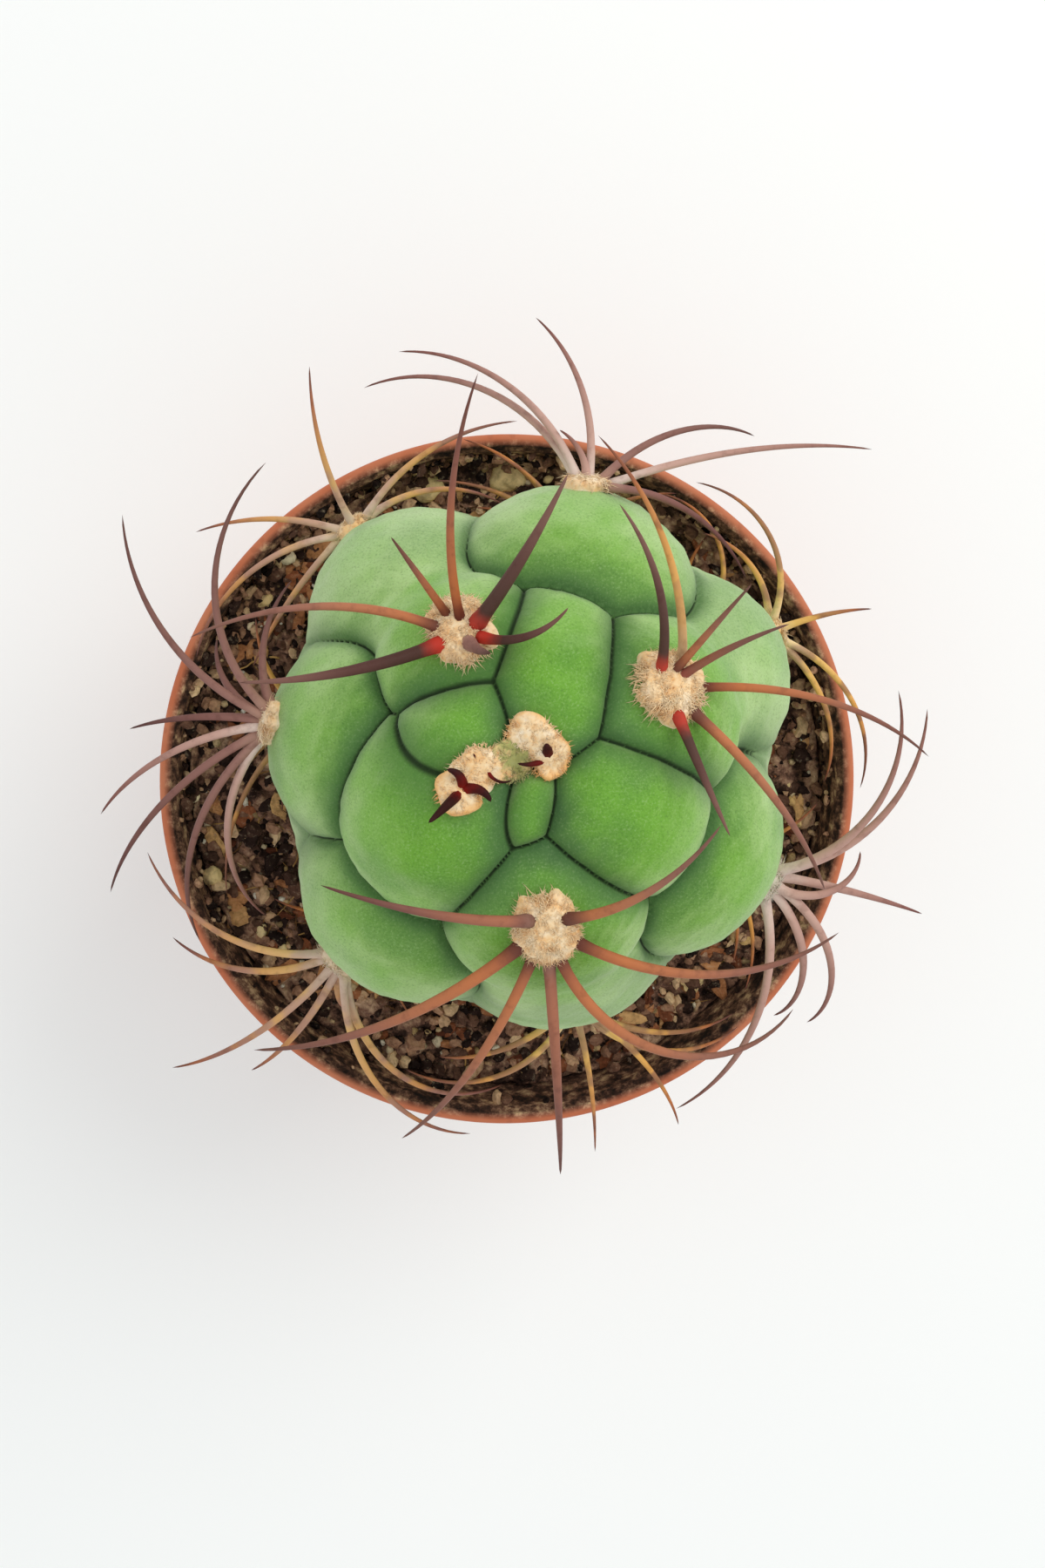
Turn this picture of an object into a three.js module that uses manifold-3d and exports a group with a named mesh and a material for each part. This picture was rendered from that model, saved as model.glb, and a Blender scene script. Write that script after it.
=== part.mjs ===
// A chin cactus in a thin round nursery pot. Millimetres, +Z up; the origin is the
// centre of the pot's flat base.
import * as THREE from 'three';
import { mergeVertices } from 'three/addons/utils/BufferGeometryUtils.js';
import Module from 'manifold-3d';

const wasm = await Module();
wasm.setup();

// ---------------------------------------------------------------- driving sizes

const GAP = 0.38; // air left between pieces that touch on the real thing
const MERGE = 1e-4;

const POT = {
  rimRadius: 42.5,
  height: 66,
  baseRadius: 30,
  wall: 1.2,
  floor: 1.5,
  collarHeight: 12,
  collarStep: 1.4,
  ledge: 0.8, // depth of the collar's lower edge, and of the rounding at the foot
  bead: 1.6, // height of the rolled rim outside
  beadRound: 0.5,
  lip: 1.3,
  segments: 60,
  drains: 6,
  drainRadius: 3.2,
  drainCircle: 20,
};

const SOIL = {
  level: 58.2,
  roughness: 0.42,
  segments: 60,
  lumps: 18,
  lumpFrom: 31.5,
  lumpTo: 36.5,
  lumpMin: 0.7,
  lumpMax: 1.5,
  lumpClear: 4.5, // least distance from a lump to a pumice stone
  lumpScatter: 0.6, // how far a lump may stray from its even place, as a share of the step
  rings: [37.2, 34.2, 31, 27.5, 22], // radii of the rough surface's rings of points
};

const STONE = {
  flatness: 0.75, // half height as a share of half width
  rise: 0.1, // height of the middle over the soil, as a share of the half height
  turn: 70, // how far a pumice stone is turned from its bearing, in degrees
};

// Cream volcanic stones lying on the soil: [name, bearing, distance from the pot's axis,
// half length, half width].
const PUMICE = [
  ['pumice_back_left', 105, 37.2, 1.9, 1.5],
  ['pumice_back', 90, 37.0, 1.9, 1.6],
  ['pumice_front', -48, 35.2, 1.5, 1.2],
];

const BODY = {
  centre: new THREE.Vector3(1.5, 4, 79),
  coreWidth: 28.5, // level half axis of the core between the lobes
  coreHeight: 23.5, // upright half axis of the core
  coreDrop: 5, // how far the core's centre lies below the body's centre
  crease: 0.5, // softness of the grooves between ribs in the crown
  waistCrease: 4, // their softness at the waist and below, where the ribs run together
  fadeFrom: 0.35, // sine of the elevation at which the grooves start to soften
  fadeOver: 0.5,
  detail: 14,
};

// The ribs. Each is a row of chin-like lobes from the crown down to the soil, and a lobe that
// a sharp groove sets off from its row stands in a row of its own. A lobe is [azimuth,
// elevation, reach, half width, half height, dome depth]: degrees and millimetres as seen
// from the body's centre, with half sizes as sines of their angles. fold is how softly the
// lobes of one row run into one another.
const RIBS = [
  {
    fold: 6,
    lobes: [
      [119, 42, 29, 0.58, 0.54, 15], [126, -5, 33.7, 0.56, 0.64, 16], [122, -37, 28.4, 0.56, 0.36, 11],
    ],
  },
  { fold: 1, lobes: [[84, 54, 28, 0.53, 0.66, 14]] },
  { fold: 1.2, lobes: [[76, 11, 33, 0.62, 0.54, 14], [75, -27, 30.5, 0.58, 0.44, 12]] },
  {
    fold: 6,
    lobes: [
      [33, 44, 29.3, 0.62, 0.6, 15], [29, -5, 32.9, 0.56, 0.64, 15], [24, -37, 28.4, 0.56, 0.36, 11],
    ],
  },
  { fold: 1, lobes: [[-15, 62, 28, 0.62, 0.6, 14]] },
  { fold: 1.2, lobes: [[-26, 14, 30.9, 0.64, 0.62, 14], [-26, -27, 29.8, 0.58, 0.44, 12]] },
  { fold: 1, lobes: [[-125, 83, 25, 0.28, 0.44, 11]] },
  {
    fold: 9,
    lobes: [
      [-86, 48, 29.3, 0.62, 0.66, 15], [-79, -4, 31.2, 0.64, 0.66, 14], [-77, -37, 28.2, 0.56, 0.36, 11],
    ],
  },
  { fold: 1, lobes: [[-165, 54, 28.2, 0.7, 0.66, 14]] },
  { fold: 1.5, lobes: [[-134, 8, 31.6, 0.64, 0.6, 14], [-131, -34, 29, 0.56, 0.38, 11]] },
  { fold: 1, lobes: [[147, 62, 27.3, 0.64, 0.42, 12]] },
  { fold: 1.2, lobes: [[168, 12, 30.3, 0.64, 0.68, 14], [170, -27, 29.6, 0.58, 0.44, 12]] },
];

// Areoles, the woolly cushions the spines grow from. at is [azimuth, elevation] from the
// body's centre, pad the cushion's [half width, half height, rise], root the radius of a
// spine where it leaves the cushion. A spine is [length, heading at the root, heading at
// the tip, climb at the root, climb at the tip]: it turns steadily from one to the other.
const AREOLES = [
  {
    name: 'areole_a_upper', at: [116, 49], pad: [3.2, 3.8, 1.6], root: 0.68,
    spines: [
      [28, 155, 205, 25, 20], [22, 200, 180, 30, 5], [15, 125, 125, 25, 60],
      [28, 105, 70, 40, 10], [21, 55, 65, 45, 20], [12, -15, 55, 40, 30], [8, -45, 10, 75, 75],
    ],
  },
  {
    name: 'areole_c_upper', at: [40, 53], pad: [3.4, 3.4, 1.6], root: 0.58,
    spines: [
      [22, 85, 130, 40, 25], [26, 80, 135, 20, 0], [15, 55, 55, 35, 40], [14, 40, 20, 35, 20],
      [31, 5, -40, 5, -35], [27, -40, -65, 15, -35], [14, -70, -65, 30, 0],
    ],
  },
  {
    name: 'areole_e_upper', at: [-88, 61], pad: [3.2, 3.8, 1.6], root: 0.74,
    spines: [
      [25, 170, 160, 50, 0], [35, -140, -170, 0, -35], [35, -110, -130, -10, -50],
      [36, -85, -85, -10, -50], [40, -70, 35, 0, -50], [34, -30, 25, 0, -35], [21, 15, 55, 45, 0],
    ],
  },
  {
    name: 'areole_b_upper', at: [79, 10], pad: [2.6, 2.2, 1.4], root: 0.48,
    spines: [
      [21, 80, 135, 10, -35], [28, 110, 180, 10, -40], [31, 115, 200, 0, -40],
      [23, 50, -20, 5, -45], [36, 20, -5, -5, -35], [20, 0, -65, 20, -15], [7, 85, 150, 15, 0],
    ],
  },
  {
    name: 'areole_g_upper', at: [168, 13], pad: [2.4, 2.6, 1.4], root: 0.52,
    spines: [
      [31, 135, 45, 25, -5], [29, 155, 95, 20, -20], [17, 170, 200, 5, -35],
      [25, 185, 235, 5, -40], [32, 205, 250, 0, -45], [33, 220, 285, -5, -45],
      [30, 230, 310, -10, -50], [14, 160, 85, -10, -60], [15, 110, 50, 15, -10],
    ],
  },
  {
    name: 'areole_d_upper', at: [-25, 4], pad: [2.4, 2.4, 1.4], root: 0.58,
    spines: [
      [29, 15, 105, 30, 5], [28, 10, 85, 20, -15], [22, -10, -25, 0, -35], [16, -35, 70, 20, -60],
      [27, -30, -120, 10, -60], [25, -45, -125, 5, -65], [34, -75, -140, 0, -35],
    ],
  },
  {
    name: 'areole_f_upper', at: [-135, -1], pad: [2.4, 2.2, 1.4], root: 0.5,
    spines: [
      [26, 185, 115, 20, -20], [21, 205, 145, 10, -35], [27, 230, 200, 10, -40],
      [22, 245, 220, 0, -50], [10, -110, -60, -10, -70], [32, -90, 10, 5, -45],
      [31, -95, -15, 15, -40],
    ],
  },
  {
    name: 'areole_a_lower', at: [126, -7], pad: [2.2, 2.2, 1.4], root: 0.44,
    spines: [
      [20, 120, 90, 40, 5], [18, 160, 200, 15, -20], [25, 185, 255, 10, -30],
      [20, 225, 245, 5, -35], [22, 60, 5, 20, -15], [18, 40, -30, 5, -35],
    ],
  },
  {
    name: 'areole_c_lower', at: [28, -8], pad: [2, 2, 1.3], root: 0.42,
    spines: [
      [22, 70, 170, 25, -5], [14, 90, 165, 5, -30], [12, 25, 0, 20, -20],
      [24, -20, -100, 10, -30], [22, -40, -100, 5, -45],
    ],
  },
  {
    name: 'areole_e_lower', at: [-79, -12], pad: [2.2, 2.2, 1.3], root: 0.44,
    spines: [
      [23, -120, -205, 25, -20], [18, -140, -175, 10, -45], [17, -75, -90, 35, -10],
      [21, -30, 20, 10, -40], [22, -45, 30, 20, -35], [21, -30, -75, 25, -40],
    ],
  },
  {
    name: 'areole_g_lower', at: [170, -32], pad: [2, 1.8, 1.2], root: 0.4, fan: true,
    spines: [[24, 215, 275, 20, -5]],
  },
  {
    name: 'areole_c_foot', at: [34, -34], pad: [2, 1.8, 1.2], root: 0.4,
    spines: [
      [22, 45, 170, 22, 5], [12, 105, 45, -5, -10], [14, 5, -25, -5, -10], [11, -15, 75, -5, -10],
      [11, 145, 85, -5, -10],
    ],
  },
  {
    name: 'areole_b_lower', at: [78, -32], pad: [2, 1.8, 1.2], root: 0.4, fan: true,
    spines: [[18, 110, 165, 35, 0], [17, 135, 180, 20, 0]],
  },
  {
    name: 'areole_d_lower', at: [-27, -32], pad: [2, 1.8, 1.2], root: 0.4, fan: true,
    spines: [[19, -45, -110, 22, -5]],
  },
  { name: 'areole_f_lower', at: [-132, -36], pad: [2, 1.8, 1.2], root: 0.4, fan: true, spines: [] },
];

// The four spines every low areole adds, with headings counted from the areole's own
// azimuth, same columns as above.
const LOW_FAN = [
  [15, 30, 80, 45, 10], [15, -30, -80, 45, 10], [11, 70, 100, 20, 15], [11, -70, -100, 20, 15],
];

// The crown: two young cushions of two lumps each and a woolly bridge between them, [azimuth,
// elevation, half width, half height, rise], and the short new spines that stand in them,
// columns as above after the index of the lump.
const CROWN_PADS = [
  [176, 71.5, 2.3, 2.3, 1.6], [151, 75, 2.1, 2.3, 1.6], [78, 80.5, 2.1, 2.3, 1.8],
  [105, 75.5, 2.1, 2.1, 1.7], [130, 79, 2.9, 2.6, 2.3],
];
const CROWN_SPINES = [
  [0, 7, 212, 216, 62, 50], [0, 3.2, 80, 175, 40, 15], [0, 3.4, 25, -70, 35, 10], [1, 2.2, 150, 110, 50, 30],
  [1, 3.2, -70, 30, 30, 10], [2, 2.8, 110, 100, 60, 60], [2, 3.2, 205, 165, 30, 10],
];
const CROWN = {
  root: 0.42, // radius of a new spine at its root
  spread: 0.1, // how far out in its lump a new spine is rooted, as a share of the lump
};

const SPINE = {
  sides: 4,
  segments: 5,
  spread: 0.8, // how far out in its cushion a spine is rooted, as a share of the cushion
  lift: 0.4,
  taper: 0.85,
  taperPower: 1.7,
};

const COLOURS = {
  terracotta: new THREE.MeshStandardMaterial({ color: 0xb5643f, roughness: 0.5, metalness: 0 }),
  peat: new THREE.MeshStandardMaterial({ color: 0x2b211b, roughness: 0.95, metalness: 0 }),
  stone: new THREE.MeshStandardMaterial({ color: 0xd6c199, roughness: 0.9, metalness: 0 }),
  skin: new THREE.MeshStandardMaterial({ color: 0x6f9c5e, roughness: 0.6, metalness: 0 }),
  spine: new THREE.MeshStandardMaterial({ color: 0x8a6259, roughness: 0.5, metalness: 0 }),
  wool: new THREE.MeshStandardMaterial({ color: 0xe6cfa6, roughness: 1, metalness: 0 }),
};

// ---------------------------------------------------------------- small helpers

const radians = THREE.MathUtils.degToRad;

/** Unit vector at an azimuth and elevation in degrees. */
function bearing(azimuth, elevation) {
  const flat = Math.cos(radians(elevation));
  return new THREE.Vector3(
    flat * Math.cos(radians(azimuth)),
    flat * Math.sin(radians(azimuth)),
    Math.sin(radians(elevation)),
  );
}

/** Repeatable random numbers from 0 to 1. */
function randomFrom(seed) {
  let state = seed;
  return () => {
    state = (state * 1664525 + 1013904223) % 4294967296;
    return state / 4294967296;
  };
}

/** A closed solid from a three.js geometry. */
function solidOf(geometry) {
  const bare = geometry.clone();
  bare.deleteAttribute('normal');
  bare.deleteAttribute('uv');
  const merged = mergeVertices(bare, MERGE);
  const index = merged.index.array;
  const triangles = [];
  for (let i = 0; i < index.length; i += 3) {
    const [a, b, c] = [index[i], index[i + 1], index[i + 2]];
    if (a !== b && b !== c && c !== a) {
      triangles.push(a, b, c);
    }
  }
  return new wasm.Manifold(new wasm.Mesh({
    numProp: 3,
    vertProperties: new Float32Array(merged.attributes.position.array),
    triVerts: new Uint32Array(triangles),
  }));
}

/** A named mesh from a solid. */
function meshOf(solid, name, material) {
  const { vertProperties, triVerts } = solid.getMesh();
  const geometry = new THREE.BufferGeometry();
  geometry.setAttribute('position', new THREE.BufferAttribute(vertProperties, 3));
  geometry.setIndex(new THREE.BufferAttribute(triVerts, 1));
  geometry.computeVertexNormals();
  const mesh = new THREE.Mesh(geometry, material.clone());
  mesh.name = name;
  return mesh;
}

/** A round turned solid about +Z from [radius, height] pairs that start and end on the axis. */
function turned(profile, segments) {
  const points = profile.map(([radius, height]) => new THREE.Vector2(radius, height));
  return new THREE.LatheGeometry(points, segments).rotateX(Math.PI / 2);
}

/** The larger of two values, rounded over where they are within `soft` of one another. */
function softMax(a, b, soft) {
  const near = Math.max(soft - Math.abs(a - b), 0) / soft;
  return Math.max(a, b) + near * near * soft / 4;
}

// ---------------------------------------------------------------- pot

/** Inside radius of the pot at a height. */
function potInside(height) {
  const shoulder = POT.height - POT.collarHeight;
  const top = POT.rimRadius - POT.lip - POT.beadRound;
  if (height > shoulder) {
    return THREE.MathUtils.mapLinear(height, shoulder, POT.height, top - POT.collarStep, top);
  }
  const under = top - 2 * POT.collarStep;
  return THREE.MathUtils.mapLinear(height, 0, shoulder, POT.baseRadius - POT.wall, under);
}

function buildPot() {
  const { height, floor, wall, lip, rimRadius, baseRadius, ledge, bead, beadRound } = POT;
  const shoulder = height - POT.collarHeight;
  const profile = [
    [0, 0],
    [baseRadius - ledge, 0],
    [baseRadius, ledge],
    [potInside(shoulder) + wall, shoulder - 1.5 * ledge],
    [potInside(shoulder + 0.1) + wall, shoulder - ledge],
    [potInside(height - bead) + wall, height - bead - 0.4],
    [rimRadius, height - bead],
    [rimRadius, height - beadRound],
    [rimRadius - beadRound, height],
    [rimRadius - lip, height],
    [rimRadius - lip - beadRound, height - beadRound],
    [potInside(shoulder + 0.1), shoulder + 0.1],
    [potInside(shoulder), shoulder - 0.3],
    [potInside(floor), floor],
    [0, floor],
  ];
  let pot = solidOf(turned(profile, POT.segments));
  for (let i = 0; i < POT.drains; i += 1) {
    const hole = new THREE.CylinderGeometry(POT.drainRadius, POT.drainRadius, 4 * floor, 10);
    hole.rotateX(Math.PI / 2);
    const turn = radians(360 * i / POT.drains + 15);
    hole.translate(POT.drainCircle * Math.cos(turn), POT.drainCircle * Math.sin(turn), 0);
    pot = pot.subtract(solidOf(hole));
  }
  return pot;
}

// ---------------------------------------------------------------- cactus body

/** How far one lobe reaches in a direction; zero outside it. */
function lobeReach(direction, [azimuth, elevation, reach, halfWidth, halfHeight, depth]) {
  const axis = bearing(azimuth, elevation);
  const across = bearing(azimuth + 90, 0);
  const up = new THREE.Vector3().crossVectors(axis, across);
  if (direction.dot(axis) <= 0) {
    return 0;
  }
  const q = (direction.dot(across) / halfWidth) ** 2 + (direction.dot(up) / halfHeight) ** 2;
  return q < 1 ? reach - depth * (1 - Math.sqrt(1 - q)) : 0;
}

/** Distance from the body's centre to its skin in a direction. */
function bodyReach(direction) {
  const { coreWidth, coreHeight, coreDrop, crease, waistCrease, fadeFrom, fadeOver } = BODY;
  const square = (1 - direction.z ** 2) / coreWidth ** 2 + (direction.z / coreHeight) ** 2;
  const along = coreDrop * direction.z / coreHeight ** 2;
  const rest = (coreDrop / coreHeight) ** 2 - 1;
  const fade = THREE.MathUtils.clamp((fadeFrom - direction.z) / fadeOver, 0, 1);
  const soft = THREE.MathUtils.lerp(crease, waistCrease, fade);
  let reach = (-along + Math.sqrt(along ** 2 - square * rest)) / square;
  for (const { fold, lobes } of RIBS) {
    let rib = 0;
    for (const lobe of lobes) {
      rib = softMax(rib, lobeReach(direction, lobe), fold);
    }
    reach = softMax(reach, rib, soft);
  }
  return reach;
}

/** The body's skin moved outwards by `extra`. */
function buildBody(extra) {
  const ball = new THREE.IcosahedronGeometry(1, BODY.detail);
  const positions = ball.attributes.position;
  const point = new THREE.Vector3();
  for (let i = 0; i < positions.count; i += 1) {
    point.fromBufferAttribute(positions, i).normalize();
    point.multiplyScalar(bodyReach(point) + extra).add(BODY.centre);
    positions.setXYZ(i, point.x, point.y, point.z);
  }
  return solidOf(ball);
}

// ---------------------------------------------------------------- areoles and spines

/** The frame of a cushion: its place on the skin, its outward normal and two tangents. */
function seatAt(azimuth, elevation) {
  const normal = bearing(azimuth, elevation);
  const across = bearing(azimuth + 90, 0);
  const up = new THREE.Vector3().crossVectors(normal, across);
  const place = normal.clone().multiplyScalar(bodyReach(normal)).add(BODY.centre);
  return { place, normal, across, up };
}

function buildPad({ place, normal, across, up }, [halfWidth, halfHeight, rise]) {
  const pad = new THREE.IcosahedronGeometry(1, 1);
  pad.scale(halfWidth, halfHeight, rise);
  pad.applyMatrix4(new THREE.Matrix4().makeBasis(across, up, normal).setPosition(place));
  return solidOf(pad);
}

/** Points along a spine, from its root, `outward` from the cushion's middle, to its tip. */
function spinePath(seat, outward, [length, headingRoot, headingTip, climbRoot, climbTip]) {
  const out = bearing(headingRoot, climbRoot).projectOnPlane(seat.normal);
  const point = seat.place.clone();
  point.addScaledVector(out, outward);
  point.addScaledVector(seat.normal, SPINE.lift);
  const path = [point.clone()];
  for (let i = 0; i < SPINE.segments; i += 1) {
    const t = (i + 0.5) / SPINE.segments;
    const heading = THREE.MathUtils.lerp(headingRoot, headingTip, t);
    const climb = THREE.MathUtils.lerp(climbRoot, climbTip, t);
    point.addScaledVector(bearing(heading, climb), length / SPINE.segments);
    path.push(point.clone());
  }
  return path;
}

/** A tapering solid rod along a path, ending in a point. */
function buildSpine(path, rootRadius) {
  const { sides, segments, taper, taperPower } = SPINE;
  const vertices = [];
  let side = new THREE.Vector3(0, 0, 1);
  for (let i = 0; i < segments; i += 1) {
    const before = path[Math.max(i - 1, 0)];
    const along = path[i + 1].clone().sub(before).normalize();
    side = side.projectOnPlane(along).normalize();
    const other = new THREE.Vector3().crossVectors(along, side);
    const radius = rootRadius * (1 - taper * (i / segments) ** taperPower);
    for (let k = 0; k < sides; k += 1) {
      const turn = 2 * Math.PI * k / sides;
      const corner = path[i].clone();
      corner.addScaledVector(side, radius * Math.cos(turn));
      corner.addScaledVector(other, radius * Math.sin(turn));
      vertices.push(...corner.toArray());
    }
  }
  vertices.push(...path[segments].toArray());
  const index = [];
  const tip = segments * sides;
  for (let k = 0; k < sides; k += 1) {
    const next = (k + 1) % sides;
    for (let i = 0; i < segments - 1; i += 1) {
      const [low, high] = [i * sides, (i + 1) * sides];
      index.push(low + k, low + next, high + next, low + k, high + next, high + k);
    }
    index.push(tip - sides + k, tip - sides + next, tip);
    if (k > 0 && k < sides - 1) {
      index.push(0, k + 1, k);
    }
  }
  const geometry = new THREE.BufferGeometry();
  geometry.setAttribute('position', new THREE.Float32BufferAttribute(vertices, 3));
  geometry.setIndex(index);
  return solidOf(geometry);
}

function buildAreole({ at, pad, root, fan, spines }) {
  const seat = seatAt(...at);
  const fanned = ([length, from, to, ...climbs]) => [length, at[0] + from, at[0] + to, ...climbs];
  const all = fan ? [...spines, ...LOW_FAN.map(fanned)] : spines;
  let areole = buildPad(seat, pad);
  for (const spine of all) {
    areole = areole.add(buildSpine(spinePath(seat, SPINE.spread * pad[0], spine), root));
  }
  return areole;
}

function buildCrown() {
  const seats = CROWN_PADS.map(([azimuth, elevation]) => seatAt(azimuth, elevation));
  let crown = null;
  CROWN_PADS.forEach(([, , ...size], i) => {
    const pad = buildPad(seats[i], size);
    crown = crown ? crown.add(pad) : pad;
  });
  for (const [pad, ...spine] of CROWN_SPINES) {
    const outward = CROWN.spread * CROWN_PADS[pad][2];
    crown = crown.add(buildSpine(spinePath(seats[pad], outward, spine), CROWN.root));
  }
  return crown;
}

// ---------------------------------------------------------------- soil and stones

/** Height of the soil's rough top over a place. */
function soilHeight(x, y) {
  const broad = Math.sin(0.31 * x + 0.8) * Math.sin(0.27 * y - 0.4);
  const fine = Math.sin(0.55 * x - 0.3 * y + 1.3) * Math.sin(0.47 * y + 0.35 * x);
  return SOIL.level + SOIL.roughness * (broad + fine);
}

/** A lumpy stone of the given half sizes standing on the soil. */
function buildStone(x, y, turn, halfLength, halfWidth, detail, grow) {
  const stone = new THREE.IcosahedronGeometry(1, detail);
  const halfHeight = STONE.flatness * halfWidth;
  stone.scale(halfLength + grow, halfWidth + grow, halfHeight + grow);
  stone.rotateZ(turn);
  stone.translate(x, y, soilHeight(x, y) + STONE.rise * halfHeight);
  return solidOf(stone);
}

function pumicePlace([, azimuth, distance]) {
  return bearing(azimuth, 0).multiplyScalar(distance);
}

function pumiceStone(row, grow) {
  const [, azimuth, , halfLength, halfWidth] = row;
  const place = pumicePlace(row);
  const turn = radians(azimuth + STONE.turn);
  return buildStone(place.x, place.y, turn, halfLength, halfWidth, 1, grow);
}

function buildSoil(bodySpace) {
  const shoulder = POT.height - POT.collarHeight;
  const inside = (height) => potInside(height) - GAP;
  const top = SOIL.level;
  const edge = inside(top) - 0.3;
  const profile = [
    [0, POT.floor + GAP],
    [inside(POT.floor), POT.floor + GAP],
    [inside(shoulder), shoulder + 0.2],
    [inside(shoulder + 0.1) - 0.3, shoulder + 0.7],
    [edge, top],
    ...SOIL.rings.map((radius) => [radius, top]),
    [0, top],
  ];
  const geometry = turned(profile, SOIL.segments);
  const positions = geometry.attributes.position;
  for (let i = 0; i < positions.count; i += 1) {
    if (positions.getZ(i) > top - 0.01) {
      positions.setZ(i, soilHeight(positions.getX(i), positions.getY(i)));
    }
  }
  let soil = solidOf(geometry);
  const random = randomFrom(7);
  for (let i = 0; i < SOIL.lumps; i += 1) {
    const azimuth = 360 * (i + SOIL.lumpScatter * random()) / SOIL.lumps;
    const place = bearing(azimuth, 0);
    place.multiplyScalar(THREE.MathUtils.lerp(SOIL.lumpFrom, SOIL.lumpTo, random()));
    const size = THREE.MathUtils.lerp(SOIL.lumpMin, SOIL.lumpMax, random());
    if (PUMICE.every((row) => pumicePlace(row).distanceTo(place) > SOIL.lumpClear)) {
      soil = soil.add(buildStone(place.x, place.y, 6 * random(), size, 0.8 * size, 0, 0));
    }
  }
  for (const stone of PUMICE) {
    soil = soil.subtract(pumiceStone(stone, GAP));
  }
  return soil.subtract(bodySpace);
}

// ---------------------------------------------------------------- assembly

const group = new THREE.Group();
const bodySpace = buildBody(GAP);
group.add(meshOf(buildPot(), 'pot', COLOURS.terracotta));
group.add(meshOf(buildSoil(bodySpace), 'soil', COLOURS.peat));
group.add(meshOf(buildBody(0), 'cactus_body', COLOURS.skin));
for (const areole of AREOLES) {
  group.add(meshOf(buildAreole(areole).subtract(bodySpace), areole.name, COLOURS.spine));
}
group.add(meshOf(buildCrown().subtract(bodySpace), 'crown_wool', COLOURS.wool));
for (const stone of PUMICE) {
  group.add(meshOf(pumiceStone(stone, 0), stone[0], COLOURS.stone));
}

export default group;
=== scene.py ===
"""A chin cactus in a thin round nursery pot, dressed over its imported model.

Lengths are millimetres until a surface becomes a mesh, which is in metres. The origin is
the centre of the pot's flat base and +Z is up, as in the model. Angles are degrees:
azimuth turns from +X towards +Y, elevation and climb rise from the level.
"""
import logging
import math
from collections.abc import Mapping, Sequence
from dataclasses import dataclass, field, replace
from enum import Enum
from typing import Any, ClassVar

import bpy
import numpy as np
from mathutils import Matrix, Vector


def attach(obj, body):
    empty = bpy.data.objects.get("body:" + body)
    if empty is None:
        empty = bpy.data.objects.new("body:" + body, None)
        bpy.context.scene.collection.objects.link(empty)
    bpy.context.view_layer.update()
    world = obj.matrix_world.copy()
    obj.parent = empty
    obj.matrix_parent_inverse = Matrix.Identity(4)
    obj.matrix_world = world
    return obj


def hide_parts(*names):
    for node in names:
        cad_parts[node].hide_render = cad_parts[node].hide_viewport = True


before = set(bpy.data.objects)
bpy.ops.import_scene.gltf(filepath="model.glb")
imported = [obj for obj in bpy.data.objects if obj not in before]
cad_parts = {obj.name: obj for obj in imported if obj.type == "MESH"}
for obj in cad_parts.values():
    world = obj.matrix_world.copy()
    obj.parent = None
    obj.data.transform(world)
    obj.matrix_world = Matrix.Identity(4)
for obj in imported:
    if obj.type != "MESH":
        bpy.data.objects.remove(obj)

log = logging.getLogger("cactus")

MM = 0.001  # metres in a millimetre
Colour = tuple[float, float, float, float]
Stops = tuple[tuple[float, str], ...]  # places on a ramp and screen colours


# ------------------------------------------------------------------ numbers and vectors


def unit(vectors: np.ndarray) -> np.ndarray:
    """Rows of any length, along the last axis, brought to length one."""
    return vectors / (np.linalg.norm(vectors, axis=-1, keepdims=True) + 1e-12)


def bearing(azimuth: np.ndarray | float, elevation: np.ndarray | float) -> np.ndarray:
    """Unit vectors at azimuths and elevations in degrees."""
    turn, rise = np.broadcast_arrays(np.radians(azimuth), np.radians(elevation))
    return np.stack([np.cos(rise) * np.cos(turn), np.cos(rise) * np.sin(turn), np.sin(rise)], axis=-1)


def soft_max(first: np.ndarray, second: np.ndarray, soft: float) -> np.ndarray:
    """The larger of two fields, rounded over where they are within soft of one another."""
    near = np.maximum(soft - np.abs(first - second), 0) / soft
    return np.maximum(first, second) + near * near * soft / 4


def colour(code: str) -> Colour:
    """A shader colour from a screen colour written as six hexadecimal digits."""
    levels = [int(code[i:i + 2], 16) / 255 for i in (0, 2, 4)]
    red, green, blue = (v / 12.92 if v <= 0.04045 else ((v + 0.055) / 1.055) ** 2.4 for v in levels)
    return (red, green, blue, 1.0)


class Waves:
    """A smooth random field, a sum of sine waves in random directions.

    The value at p is the sum over waves of weight times sin(k . p + phase). Each octave
    halves the wavelength and multiplies the weight by fade.
    """

    def __init__(self, seed: int, longest: float, octaves: int, fade: float = 0.55, count: int = 9) -> None:
        """Draw the waves.

        Args:
            seed: Starts the random draw.
            longest: Wavelength of the first octave in millimetres.
            octaves: How many times the wavelength is halved, plus one.
            fade: Weight of an octave against the one before it.
            count: Waves in an octave.
        """
        draw = np.random.default_rng(seed)
        lengths = longest / 2.0 ** np.arange(octaves).repeat(count) * draw.uniform(0.75, 1.3, octaves * count)
        ways = unit(draw.normal(size=(octaves * count, 3)))
        self.steps = ways * (2 * math.pi / lengths)[:, None]
        self.phases = draw.uniform(0, 2 * math.pi, octaves * count)
        self.weights = fade ** np.arange(octaves).repeat(count) * math.sqrt(2 / count)

    def at(self, points: np.ndarray) -> np.ndarray:
        """Values, mostly within one of zero, at points of shape (..., 3)."""
        return np.sin(points @ self.steps.T + self.phases) @ self.weights


# ------------------------------------------------------------------ surfaces


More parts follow.
